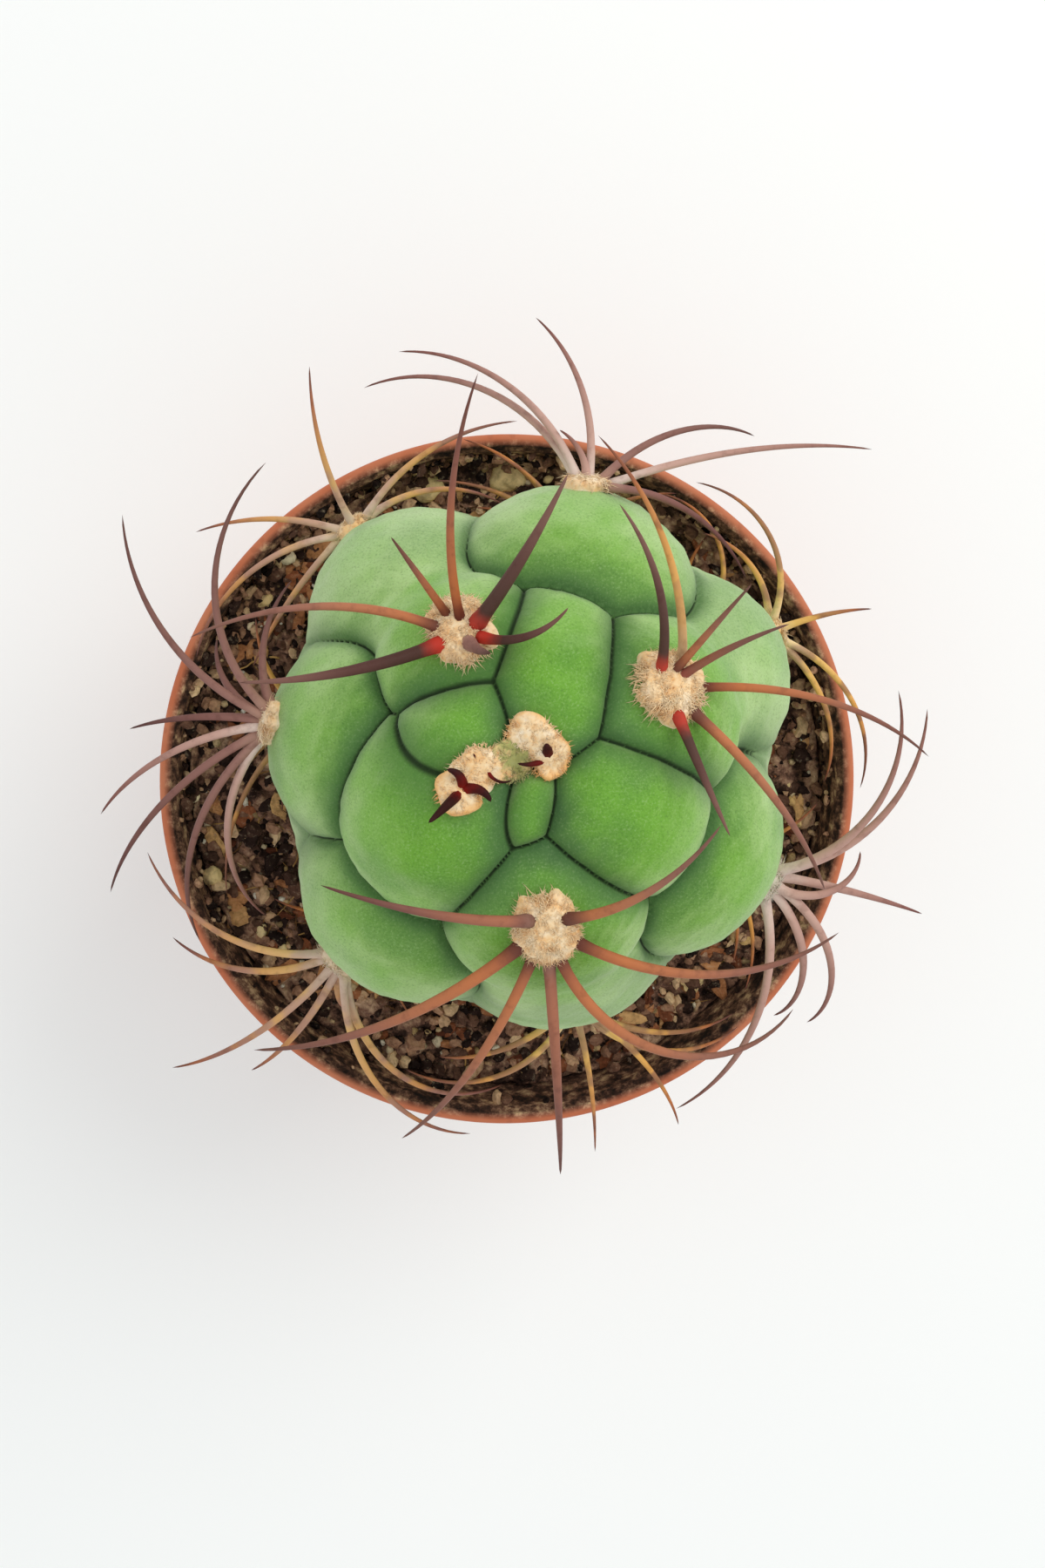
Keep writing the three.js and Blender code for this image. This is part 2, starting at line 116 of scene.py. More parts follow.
@dataclass
class Shape:
    """A surface as plain arrays.

    Attributes:
        points: Corner places in millimetres, one row each.
        faces: Four corners a row, turning left as seen from outside; a triangle repeats its third.
        traits: Named values, one for each point, which the materials read.
    """

    points: np.ndarray
    faces: np.ndarray
    traits: dict[str, np.ndarray] = field(default_factory=dict)

    @staticmethod
    def joined(parts: Sequence["Shape"]) -> "Shape":
        """Several shapes as one.

        Args:
            parts: The shapes, which all have the same traits.

        Returns:
            The one shape, with those traits.
        """
        starts = np.cumsum([0] + [len(part.points) for part in parts[:-1]])
        return Shape(
            np.concatenate([part.points for part in parts]),
            np.concatenate([part.faces + start for part, start in zip(parts, starts)]),
            {name: np.concatenate([part.traits[name] for part in parts]) for name in parts[0].traits},
        )

    def put(self, name: str, finish: "Finish", smooth: bool = True) -> bpy.types.Object:
        """Make the surface a mesh object at the origin.

        Args:
            name: The object's name.
            finish: What its material is made from.
            smooth: Whether its faces are shaded as one curved surface.

        Returns:
            The object, linked to the scene.
        """
        three = self.faces[:, 2] == self.faces[:, 3]
        kept = np.ones(self.faces.shape, dtype=bool)
        kept[three, 3] = False
        corners = self.faces[kept]
        starts = np.concatenate([[0], np.cumsum(np.where(three, 3, 4))[:-1]])
        mesh = bpy.data.meshes.new(name)
        mesh.vertices.add(len(self.points))
        mesh.vertices.foreach_set("co", (self.points * MM).astype(np.float32).ravel())
        mesh.loops.add(len(corners))
        mesh.loops.foreach_set("vertex_index", corners.astype(np.int32))
        mesh.polygons.add(len(self.faces))
        mesh.polygons.foreach_set("loop_start", starts.astype(np.int32))
        for trait, values in self.traits.items():
            layer = mesh.attributes.new(trait, "FLOAT", "POINT")
            layer.data.foreach_set("value", values.astype(np.float32))
        mesh.polygons.foreach_set("use_smooth", np.full(len(self.faces), smooth))
        mesh.update(calc_edges=True)
        mesh.validate()
        mesh.materials.append(finish.material())
        made = bpy.data.objects.new(name, mesh)
        bpy.context.scene.collection.objects.link(made)
        return made


def normals(points: np.ndarray, faces: np.ndarray) -> np.ndarray:
    """Outward unit vectors at the points, each the sum of those of the faces round it.

    A face's is the cross product of its diagonals, and so counts by its area.

    Args:
        points: The corners, one row each.
        faces: Rows of four corners.

    Returns:
        One unit vector for each point.
    """
    first, second, third, fourth = (points[faces[:, corner]] for corner in range(4))
    across = np.cross(third - first, fourth - second)
    total = np.zeros_like(points)
    for corner in range(4):
        np.add.at(total, faces[:, corner], across)
    return unit(total)


def blown_cube(cells: int) -> tuple[np.ndarray, np.ndarray]:
    """A cube's six grids blown up to a ball.

    The grid lines stand at equal angles: a point of a side is (1, tan u, tan v), brought to
    length one, with u and v from -45 to 45 degrees.

    Args:
        cells: Cells along each edge of the cube.

    Returns:
        Unit directions, and faces as rows of four corners.
    """
    ticks = np.tan(np.linspace(-math.pi / 4, math.pi / 4, cells + 1))
    u, v = np.meshgrid(ticks, ticks, indexing="ij")
    one = np.ones_like(u)
    sides = [(one, u, v), (-one, v, u), (v, one, u), (u, -one, v), (u, v, one), (v, u, -one)]
    points = np.concatenate([np.stack(side, axis=-1).reshape(-1, 3) for side in sides])
    first = (np.arange(cells)[:, None] * (cells + 1) + np.arange(cells)).ravel()
    grid = np.stack([first, first + cells + 1, first + cells + 2, first + 1], axis=-1)
    faces = np.concatenate([grid + side * (cells + 1) ** 2 for side in range(6)])
    _, index, back = np.unique(np.round(points, 6), axis=0, return_index=True, return_inverse=True)
    return unit(points[index]), back.ravel()[faces]


def tube_faces(rings: int, steps: int, start: int, end: int) -> np.ndarray:
    """Faces of a closed tube: quads between neighbouring rings and a fan of triangles at either end.

    Args:
        rings: Number of rings, whose points follow one another.
        steps: Points of a ring, which turns left about the way from the start to the end.
        start: Index of the point that closes the first ring.
        end: Index of the point that closes the last ring.

    Returns:
        Rows of four corners that turn left as seen from outside.
    """
    here = np.arange(steps)
    after = (here + 1) % steps
    low = np.arange(rings - 1)[:, None] * steps
    last = (rings - 1) * steps
    first, final = np.full(steps, start), np.full(steps, end)
    sides = np.stack([low + here, low + after, low + steps + after, low + steps + here], axis=-1)
    foot = np.stack([after, here, first, first], axis=-1)
    top = np.stack([last + here, last + after, final, final], axis=-1)
    return np.concatenate([sides.reshape(-1, 4), foot, top])


def turned(outline: np.ndarray, segments: int) -> Shape:
    """A closed solid of revolution about +Z.

    Point (r, z) of the outline at turn a stands at (r cos a, r sin a, z). The outline starts
    and ends on the axis, and its outward side is on its right.

    Args:
        outline: Radius and height, one row each.
        segments: Steps round the axis.

    Returns:
        The surface.
    """
    angles = 2 * math.pi * np.arange(segments) / segments
    rings = outline[1:-1]
    points = np.stack(
        [
            rings[:, :1] * np.cos(angles),
            rings[:, :1] * np.sin(angles),
            np.broadcast_to(rings[:, 1:], (len(rings), segments)),
        ],
        axis=-1,
    ).reshape(-1, 3)
    poles = np.array([[0, 0, outline[0, 1]], [0, 0, outline[-1, 1]]])
    faces = tube_faces(len(rings), segments, len(points), len(points) + 1)
    return Shape(np.concatenate([points, poles]), faces)


def rods(paths: np.ndarray, radii: np.ndarray, sides: int) -> Shape:
    """Closed tapering rods carried along paths.

    Ring i is path point i plus radius times (cos a, sin a) in the plane across the path; the
    first of that plane's two axes is handed on from ring to ring. Each rod ends in a point.

    Args:
        paths: Path points, shape (rods, rings + 1, 3).
        radii: Radius at each ring, shape (rods, rings).
        sides: Corners of a ring.

    Returns:
        The surface, with the trait "along" from 0 at the root to 1 at the tip.
    """
    count, rings = radii.shape
    along = unit(np.gradient(paths, axis=1))[:, :rings]
    side = np.empty_like(along)
    carried = np.where(np.abs(along[:, 0, 2:]) < 0.9, [[0.0, 0.0, 1.0]], [[1.0, 0.0, 0.0]])
    for ring in range(rings):
        carried = unit(carried - np.sum(carried * along[:, ring], axis=-1, keepdims=True) * along[:, ring])
        side[:, ring] = carried
    other = np.cross(along, side)
    angles = 2 * math.pi * np.arange(sides)[:, None] / sides
    offsets = np.cos(angles) * side[:, :, None] + np.sin(angles) * other[:, :, None]
    walls = paths[:, :rings, None] + radii[..., None, None] * offsets
    points = np.concatenate([walls.reshape(count, rings * sides, 3), paths[:, -1:], paths[:, :1]], axis=1)
    tip, root = rings * sides, rings * sides + 1
    one = tube_faces(rings, sides, root, tip)
    faces = one + (np.arange(count) * (rings * sides + 2))[:, None, None]
    share = np.concatenate([np.arange(rings).repeat(sides) / rings, [1.0, 0.0]])
    return Shape(points.reshape(-1, 3), faces.reshape(-1, 4), {"along": np.tile(share, count)})


def spread(values: np.ndarray, shape: Shape) -> np.ndarray:
    """One value for each of several like bodies, repeated for every point of them."""
    return np.repeat(values, len(shape.points) // len(values))


def random_turns(draw: np.random.Generator, count: int) -> np.ndarray:
    """Random rotation matrices, shape (count, 3, 3), from random unit quaternions."""
    w, x, y, z = unit(draw.normal(size=(count, 4))).T
    rows = [
        [1 - 2 * (y * y + z * z), 2 * (x * y - w * z), 2 * (x * z + w * y)],
        [2 * (x * y + w * z), 1 - 2 * (x * x + z * z), 2 * (y * z - w * x)],
        [2 * (x * z - w * y), 2 * (y * z + w * x), 1 - 2 * (x * x + y * y)],
    ]
    return np.array(rows).transpose(2, 0, 1)


def level_turns(angle: np.ndarray, tilt: np.ndarray) -> np.ndarray:
    """Rotation matrices that turn about +Z after a small tilt about X."""
    c, s, ct, st, zero = np.cos(angle), np.sin(angle), np.cos(tilt), np.sin(tilt), np.zeros_like(angle)
    rows = [[c, -s * ct, s * st], [s, c * ct, -c * st], [zero, st, ct]]
    return np.array(rows).transpose(2, 0, 1)


def chunks(
    centres: np.ndarray, halves: np.ndarray, turns: np.ndarray, seed: int, cells: int, rough: float,
) -> Shape:
    """Many rough lumps, each a blown-up cube that is scaled, roughened and turned.

    A corner in direction d of a lump with half sizes h stands at centre + turn (h d (1 + rough w)),
    where w is a wave field that is sampled at another place for every lump.

    Args:
        centres: Middles, shape (n, 3).
        halves: Half sizes along the lump's own axes, shape (n, 3).
        turns: Rotation matrices, shape (n, 3, 3).
        seed: Starts the random draw of the roughness and of the tints.
        cells: Cells along an edge of the cube.
        rough: How far the surface departs from an ellipsoid, as a share of the radius.

    Returns:
        The lumps, with the trait "tint", a random number for each lump.
    """
    draw = np.random.default_rng(seed)
    ways, quads = blown_cube(cells)
    places = draw.uniform(-50, 50, (len(centres), 1, 3))
    swell = 1 + rough * Waves(seed, 1.6, 2).at(ways + places)
    local = ways * swell[..., None] * halves[:, None]
    points = centres[:, None] + np.einsum("nij,nkj->nki", turns, local)
    faces = quads + (np.arange(len(centres)) * len(ways))[:, None, None]
    shape = Shape(points.reshape(-1, 3), faces.reshape(-1, 4))
    shape.traits["tint"] = spread(draw.uniform(0, 1, len(centres)), shape)
    return shape


# ------------------------------------------------------------------ shader building


class Sock:
    """A node's output; arithmetic on it adds Math nodes."""

    def __init__(self, paint: "Paint", socket: bpy.types.NodeSocket) -> None:
        """Hold an output socket and the tree it is in."""
        self.paint = paint
        self.socket = socket

    def _maths(self, operation: str, *values: "Sock | float") -> "Sock":
        """The result of a Math node on up to three values."""
        return self.paint.node("ShaderNodeMath", {"operation": operation}, dict(enumerate(values)))

    def __add__(self, other: "Sock | float") -> "Sock":
        """Sum."""
        return self._maths("ADD", self, other)

    def __sub__(self, other: "Sock | float") -> "Sock":
        """Difference."""
        return self._maths("SUBTRACT", self, other)

    def __rsub__(self, other: float) -> "Sock":
        """Difference with the number first."""
        return self._maths("SUBTRACT", other, self)

    def __mul__(self, other: "Sock | float") -> "Sock":
        """Product."""
        return self._maths("MULTIPLY", self, other)

    def __pow__(self, power: float) -> "Sock":
        """Power."""
        return self._maths("POWER", self, power)

    __radd__ = __add__
    __rmul__ = __mul__

    def above(self, low: float, high: float) -> "Sock":
        """A smooth step: 0 below low, 1 above high."""
        return self.paint.node(
            "ShaderNodeMapRange", {"interpolation_type": "SMOOTHSTEP"},
            {0: self, 1: low, 2: high, 3: 0.0, 4: 1.0},
        )

    def below(self, low: float, high: float) -> "Sock":
        """A smooth step: 1 below low, 0 above high."""
        return 1.0 - self.above(low, high)

    def ramp(self, *stops: tuple[float, str]) -> "Sock":
        """A colour looked up between stops of position and screen colour."""
        return self.paint.node("ShaderNodeValToRGB", {"stops": stops}, {0: self})


class Paint:
    """A material being built on the standard surface shader."""

    def __init__(self, name: str) -> None:
        """Start a material with an empty standard surface."""
        self.made = bpy.data.materials.new(name)
        self.made.use_nodes = True
        self.tree = self.made.node_tree
        self.surface = self.tree.nodes["Principled BSDF"]

    def node(
        self, kind: str, settings: Mapping[str, Any] | None = None,
        sockets: Mapping[int | str, Any] | None = None, output: int | str = 0,
    ) -> Sock:
        """Add a node.

        Args:
            kind: The node's type.
            settings: Its properties; "stops" fills a colour ramp.
            sockets: Values or links for its inputs.
            output: Which output is returned.

        Returns:
            That output.
        """
        made = self.tree.nodes.new(kind)
        for name, value in (settings or {}).items():
            if name == "stops":
                self._fill_ramp(made.color_ramp, value)
            else:
                setattr(made, name, value)
        for name, value in (sockets or {}).items():
            self.feed(made.inputs[name], value)
        return Sock(self, made.outputs[output])

    @staticmethod
    def _fill_ramp(ramp: bpy.types.ColorRamp, stops: Sequence[tuple[float, str]]) -> None:
        """Give a ramp its stops, in rising order of position."""
        while len(ramp.elements) < len(stops):
            ramp.elements.new(1.0)
        for element, (place, code) in zip(ramp.elements, stops):
            element.position = place
            element.color = colour(code)

    def feed(self, socket: bpy.types.NodeSocket, value: Any) -> None:
        """Link an output to an input, or set the input's own value."""
        if isinstance(value, Sock):
            self.tree.links.new(value.socket, socket)
        else:
            socket.default_value = value

    def set(self, **values: Any) -> None:
        """Feed inputs of the surface; a name's underscores stand for spaces."""
        for name, value in values.items():
            self.feed(self.surface.inputs[name.replace("_", " ")], value)

    def place(self) -> Sock:
        """The point's place on the object, in metres."""
        return self.node("ShaderNodeTexCoord", output="Object")

    def trait(self, name: str) -> Sock:
        """A named value that the mesh carries."""
        return self.node("ShaderNodeAttribute", {"attribute_name": name}, output="Fac")

    def noise(self, size: float, detail: float = 3.0, rough: float = 0.55) -> Sock:
        """Cloudy noise from 0 to 1 with features of a size in millimetres."""
        sockets = {"Vector": self.place(), "Scale": 1 / (size * MM), "Detail": detail, "Roughness": rough}
        return self.node("ShaderNodeTexNoise", None, sockets)

    def cells(self, size: float) -> Sock:
        """Distance from the nearest of scattered dots that stand about a size apart in millimetres."""
        sockets = {"Vector": self.place(), "Scale": 1 / (size * MM)}
        return self.node("ShaderNodeTexVoronoi", None, sockets, "Distance")

    def mix(self, factor: Sock | float, first: Sock | str, second: Sock | str, blend: str = "MIX") -> Sock:
        """Two colours blended.

        Args:
            factor: Share of the second.
            first: A colour's output, or a screen colour.
            second: The same for the other colour.
            blend: How the second is laid over the first.

        Returns:
            The blended colour.
        """
        pair = [colour(value) if isinstance(value, str) else value for value in (first, second)]
        settings = {"data_type": "RGBA", "blend_type": blend}
        return self.node("ShaderNodeMix", settings, {0: factor, 6: pair[0], 7: pair[1]}, 2)

    def height(self) -> Sock:
        """Height above the pot's base in millimetres."""
        return self.node("ShaderNodeSeparateXYZ", None, {0: self.place()}, "Z") * (1 / MM)

    def bump(self, height: Sock, depth: float, under: Sock | None = None) -> Sock:
        """A bumped normal.

        Args:
            height: The relief, from 0 to 1.
            depth: What 1 stands for in millimetres.
            under: A normal that this one is laid over.

        Returns:
            The normal.
        """
        sockets = {"Strength": 1.0, "Distance": depth * MM, "Height": height}
        if under:
            sockets["Normal"] = under
        return self.node("ShaderNodeBump", None, sockets)


class Finish:
    """A material that is made once and shared by the pieces that ask for it."""

    made: ClassVar[dict[str, bpy.types.Material]] = {}
    name: str

    def paint(self, paint: Paint) -> None:
        """Build the nodes on a new material."""
        raise NotImplementedError

    def material(self) -> bpy.types.Material:
        """The finish's material, built at its first use."""
        if self.name not in Finish.made:
            paint = Paint(self.name)
            self.paint(paint)
            Finish.made[self.name] = paint.made
        return Finish.made[self.name]


# ------------------------------------------------------------------ finishes


@dataclass(frozen=True)
class PotPlastic(Finish):
    """Thin terracotta plastic, satin outside, with peat dried on it inside and painted shade over its inside.

    Attributes:
        clay: The plastic.
        light: Its paler clouds.
        scuffed: Its scuffs.
        pitted: Small darker spots outside.
        dirt_and_shade: Colours of the peat on its inside, dark partly as painted shade.
    """

    name: str = "terracotta_plastic"
    clay: str = "bf6a46"
    light: str = "d08e6b"
    scuffed: str = "cfa188"
    pitted: str = "8a4a33"
    dirt_and_shade: Stops = ((0.38, "1d1412"), (0.47, "4c3228"), (0.55, "8a6450"), (0.66, "d8b48c"))

    def paint(self, paint: Paint) -> None:
        """Mottle, scuff and spot the plastic, and cover its inside with dried peat and painted shade by the
        trait "inside".
        """
        inside = paint.trait("inside")
        mottle = paint.noise(9.0, 4.0)
        grain = paint.noise(0.7, 3.0)
        scuffs = paint.noise(2.2, 8.0, 0.75).above(0.62, 0.72)
        base = paint.mix(mottle.above(0.35, 0.7) * 0.35, self.clay, self.light)
        base = paint.mix(scuffs * 0.25, base, self.scuffed)
        # Dried peat and painted shade together on the pot's inside.
        base = paint.mix(inside, base, paint.noise(2.2, 7.0, 0.72).ramp(*self.dirt_and_shade))
        spots = paint.cells(1.7).below(0.16, 0.3)
        base = paint.mix(spots * 0.22 * (1 - inside), base, self.pitted)
        paint.set(
            Base_Color=base,
            Roughness=0.45 + 0.18 * mottle + 0.3 * inside + 0.1 * scuffs,
            Specular_IOR_Level=0.25,
            Normal=paint.bump(grain, 0.03, paint.bump(mottle, 0.12)),
        )


@dataclass(frozen=True)
class PeatSoil(Finish):
    """Dark moist peat, flecked with grit too fine to model.

    Attributes:
        clods: Colours from the gaps to the tops of the clods, the dark gaps partly painted shade.
        fleck: The grit.
    """

    name: str = "peat_soil"
    clods: Stops = ((0.34, "1d1412"), (0.45, "49342b"), (0.54, "9a735e"), (0.66, "e0ba97"))
    fleck: str = "c3a26c"

    def paint(self, paint: Paint) -> None:
        """Colour by clods, with painted shade in their gaps, fleck with pale grit, and roughen."""
        clods = paint.noise(3.4, 6.0, 0.68)
        # The ramp follows the same noise as the bump, so the low gaps get painted shade.
        base = clods.ramp(*self.clods)
        flecks = paint.cells(1.1).below(0.1, 0.2) * paint.noise(5.0).above(0.5, 0.62)
        base = paint.mix(flecks * 0.8, base, self.fleck)
        paint.set(
            Base_Color=base,
            Roughness=0.96 - 0.2 * clods,
            Specular_IOR_Level=0.1,
            Normal=paint.bump(paint.noise(0.5, 5.0, 0.7), 0.25, paint.bump(clods, 0.6)),
        )


@dataclass(frozen=True)
class Crumb(Finish):
    """Loose bits whose colour follows the trait "tint".

    Attributes:
        stops: Colours over the tint.
        grain: Size of the mottling in millimetres.
        rough: Roughness.
        dark: What the higher parts of the mottling are multiplied by.
        pale: What is mixed into its lower parts.
    """

    name: str
    stops: Stops
    grain: float = 0.6
    rough: float = 0.9
    dark: str = "3a2a24"
    pale: str = "d9c6a6"

    def paint(self, paint: Paint) -> None:
        """Colour by tint and mottle."""
        base = paint.trait("tint").ramp(*self.stops)
        mottle = paint.noise(self.grain, 5.0, 0.65)
        base = paint.mix(mottle.above(0.42, 0.7) * 0.45, base, self.dark, "MULTIPLY")
        base = paint.mix(mottle.below(0.3, 0.45) * 0.25, base, self.pale)
        paint.set(
            Base_Color=base,
            Roughness=self.rough,
            Specular_IOR_Level=0.12,
            Normal=paint.bump(mottle, 0.25 * self.grain),
        )


@dataclass(frozen=True)
class CactusSkin(Finish):
    """Waxy green skin, with painted shade where it faces the crown and a painted sheen, partly real waxy
    bloom, where it faces outwards.

    Attributes:
        lean_shade_and_sheen: Colours over the trait "lean", 0 facing the crown's axis and 1 facing away;
            painted shade at the low end and a painted sheen, partly real waxy bloom, at the high end.
        swell: The middle of a lobe.
        frost: The older skin lower down.
        shade: Broad darker patches.
        grain: Fine darker dots of the skin.
        bloom: Fine paler dots of wax.
        fold: Painted shade beside a crease.
        line: Painted shadow along the crease itself.
    """

    name: str = "waxy_skin"
    lean_shade_and_sheen: Stops = (
        (0.18, "4a7139"), (0.5, "5f8c41"), (0.68, "6b9a42"),
        (0.77, "84ad57"), (0.85, "a0c276"), (0.97, "adcb88"),
    )
    swell: str = "70ab30"
    frost: str = "c2d5a6"
    shade: str = "4e7c40"
    grain: str = "3a632e"
    bloom: str = "b9d499"
    fold: str = "42663c"
    line: str = "1c2c16"

    def paint(self, paint: Paint) -> None:
        """Colour by the traits "lean", "dome" and "gap" and by height, then grain the skin; lean and gap
        carry painted shade, a painted sheen and painted crease shadow.
        """
        dome, lean, gap = paint.trait("dome"), paint.trait("lean"), paint.trait("gap")
        cloud = paint.noise(7.0, 3.0) - 0.5
        patch = paint.noise(13.0, 2.0)
        grain = paint.noise(0.26, 3.0, 0.7)
        # Painted shade on skin facing the crown, painted sheen (partly real waxy bloom) on skin facing
        # outwards.
        base = (lean + 0.2 * cloud).ramp(*self.lean_shade_and_sheen)
        base = paint.mix((dome + 0.7 * cloud).above(0.7, 1.05) * 0.7, base, self.swell)
        base = paint.mix((paint.height() + 9.0 * cloud).below(80.0, 96.0) * 0.5, base, self.frost)
        base = paint.mix(patch.above(0.52, 0.7) * 0.3, base, self.shade)
        base = paint.mix(grain.above(0.5, 0.7) * 0.36, base, self.grain)
        base = paint.mix(grain.below(0.3, 0.48) * 0.24, base, self.bloom)
        # Painted shade beside the creases and a painted shadow along them.
        base = paint.mix((gap.below(0.0, 4.6) ** 1.7) * 0.66, base, self.fold)
        base = paint.mix(gap.below(0.06, 0.38) * 0.9, base, self.line)
        paint.set(
            Base_Color=base,
            Roughness=0.56 + 0.12 * grain + 0.25 * gap.below(0.0, 1.5),
            Normal=paint.bump(grain, 0.04),
            Specular_IOR_Level=0.2,
            Sheen_Weight=0.12,
            Sheen_Roughness=0.45,
            Subsurface_Weight=0.05,
            Subsurface_Radius=(0.4, 1.0, 0.2),
            Subsurface_Scale=1.2 * MM,
        )


@dataclass(frozen=True)
class SpineHorn(Finish):
    """Horny spines: mauve-brown, or red, tan, gold or rose by the traits of those names.

    Attributes:
        mauve: Colours from root to tip of a spine with none of the traits.
        rose: The same with the trait "rose".
        gold: The same with the trait "gold".
        tan: The same with the trait "tan".
        red: The same with the trait "red".
        tan_root: The foot of a tan spine.
        red_root: The foot of a red spine.
        bleached: What the trait "tint" moves the colour towards.
        streaked: Darker streaks.
    """

    name: str = "spine_horn"
    mauve: Stops = ((0.0, "b18c7a"), (0.12, "946960"), (0.45, "7e544d"), (0.8, "643f3c"), (1.0, "4c2c2a"))
    rose: Stops = ((0.0, "e6d6ca"), (0.2, "c8a193"), (0.55, "a87d71"), (0.85, "875850"), (1.0, "643a34"))
    gold: Stops = ((0.0, "f0dcae"), (0.2, "e8bb6a"), (0.5, "dca052"), (0.78, "b66d40"), (1.0, "5f3531"))
    tan: Stops = ((0.0, "8a4632"), (0.18, "bb6d3e"), (0.42, "ab6846"), (0.62, "8a5849"), (1.0, "63403a"))
    red: Stops = ((0.0, "300c0b"), (0.25, "32100f"), (0.5, "4a2524"), (0.75, "704a42"), (1.0, "755048"))
    tan_root: str = "4a1a18"
    red_root: str = "b91c08"
    bleached: str = "c9a58f"
    streaked: str = "4a2823"

    def paint(self, paint: Paint) -> None:
        """Colour by "along", the share of the length, and "out", millimetres from the root."""
        streak = paint.noise(1.3, 4.0)
        patch = paint.noise(5.0, 2.0).above(0.42, 0.6)
        along = paint.trait("along") + 0.1 * (streak - 0.5)
        out = paint.trait("out") + 1.2 * (streak - 0.5)
        tan = paint.mix(out.below(0.8, 4.4) * 0.85, along.ramp(*self.tan), self.tan_root)
        red = paint.mix(out.below(0.8, 3.3), along.ramp(*self.red), self.red_root)
        base = paint.mix(paint.trait("rose"), along.ramp(*self.mauve), along.ramp(*self.rose))
        base = paint.mix(paint.trait("gold") * (0.35 + 1.3 * patch), base, along.ramp(*self.gold))
        base = paint.mix(paint.trait("tan"), base, tan)
        base = paint.mix(paint.trait("red"), base, red)
        base = paint.mix(paint.trait("tint") * 0.12, base, self.bleached)
        base = paint.mix(streak.above(0.5, 0.72) * 0.25, base, self.streaked)
        paint.set(
            Base_Color=base,
            Roughness=0.5 + 0.2 * streak,
            Specular_IOR_Level=0.14,
            Normal=paint.bump(paint.noise(0.35, 3.0), 0.04),
        )


@dataclass(frozen=True)
class ArealWool(Finish):
    """Matted cream felt, peach in patches and at its edge, grey-white when old, green over the crown.

    Attributes:
        clumps: Colours over the felt's clumps.
        strand: The palest hairs.
        peach: The edge of a young cushion.
        old: Wool that has greyed.
        sheltered: The thin wool over the growing point.
    """

    name: str = "matted_wool"
    clumps: Stops = ((0.3, "eab474"), (0.42, "f4cd97"), (0.54, "f9deb3"), (0.68, "fdebcd"))
    strand: str = "fbe6c0"
    peach: str = "f3b463"
    old: str = "dcd5cc"
    sheltered: str = "949a4a"

    def paint(self, paint: Paint) -> None:
        """Colour by clumps and by the traits "tint", "edge", "warm", "grey" and "green"."""
        clumps = paint.noise(1.3, 5.0, 0.62)
        base = clumps.ramp(*self.clumps)
        base = paint.mix(paint.trait("tint") * 0.5, base, self.strand)
        base = paint.mix(paint.trait("edge").above(0.6, 1.0) * paint.trait("warm"), base, self.peach)
        base = paint.mix(paint.trait("grey") * 0.8, base, self.old)
        base = paint.mix(paint.trait("green") * clumps.above(0.3, 0.55) * 0.85, base, self.sheltered)
        paint.set(
            Base_Color=base,
            Roughness=1.0,
            Specular_IOR_Level=0.2,
            Sheen_Weight=0.2,
            Normal=paint.bump(paint.noise(0.25, 4.0, 0.7), 0.05),
        )


@dataclass(frozen=True)
class PaleFloor(Finish):
    """A plain white table top with a faint glow, painted light that lifts its shadows."""

    name: str = "pale_floor"

    def paint(self, paint: Paint) -> None:
        """An even matt white, clouded a very little, glowing faintly as painted light."""
        base = paint.mix(paint.noise(300.0, 1.0), "f1f3f1", "f3f5f3")
        # The emission is painted light that lightens the floor's shadows.
        paint.set(Base_Color=base, Roughness=0.85, Emission_Color=base, Emission_Strength=0.08)


POT_PLASTIC = PotPlastic()
PEAT_SOIL = PeatSoil()
CACTUS_SKIN = CactusSkin()
SPINE_HORN = SpineHorn()
AREAL_WOOL = ArealWool()
PALE_FLOOR = PaleFloor()
PEAT_CRUMB = Crumb(
    "peat_crumb", ((0.0, "1c1311"), (0.3, "3d2a23"), (0.5, "7a5745"), (0.75, "bd8f70"), (1.0, "e6c396")), 0.7,
)
GRIT = Crumb(
    "grit", ((0.0, "8a7353"), (0.3, "b59463"), (0.55, "cdb389"), (0.8, "e0d2b4"), (1.0, "efe8da")), 0.4, 0.85,
)
BARK = Crumb("bark", ((0.0, "5a3020"), (0.4, "9a5c3c"), (0.75, "c4885a"), (1.0, "e0b478")), 0.7)
FIBRE = Crumb("root_fibre", ((0.0, "5a3d26"), (0.5, "8c6438"), (1.0, "c79c5c")), 0.8)
PUMICE = Crumb("pumice_stone", ((0.0, "deb070"), (0.4, "f2d294"), (0.75, "fae2ac"), (1.0, "feeec8")), 1.4)


# ------------------------------------------------------------------ pot


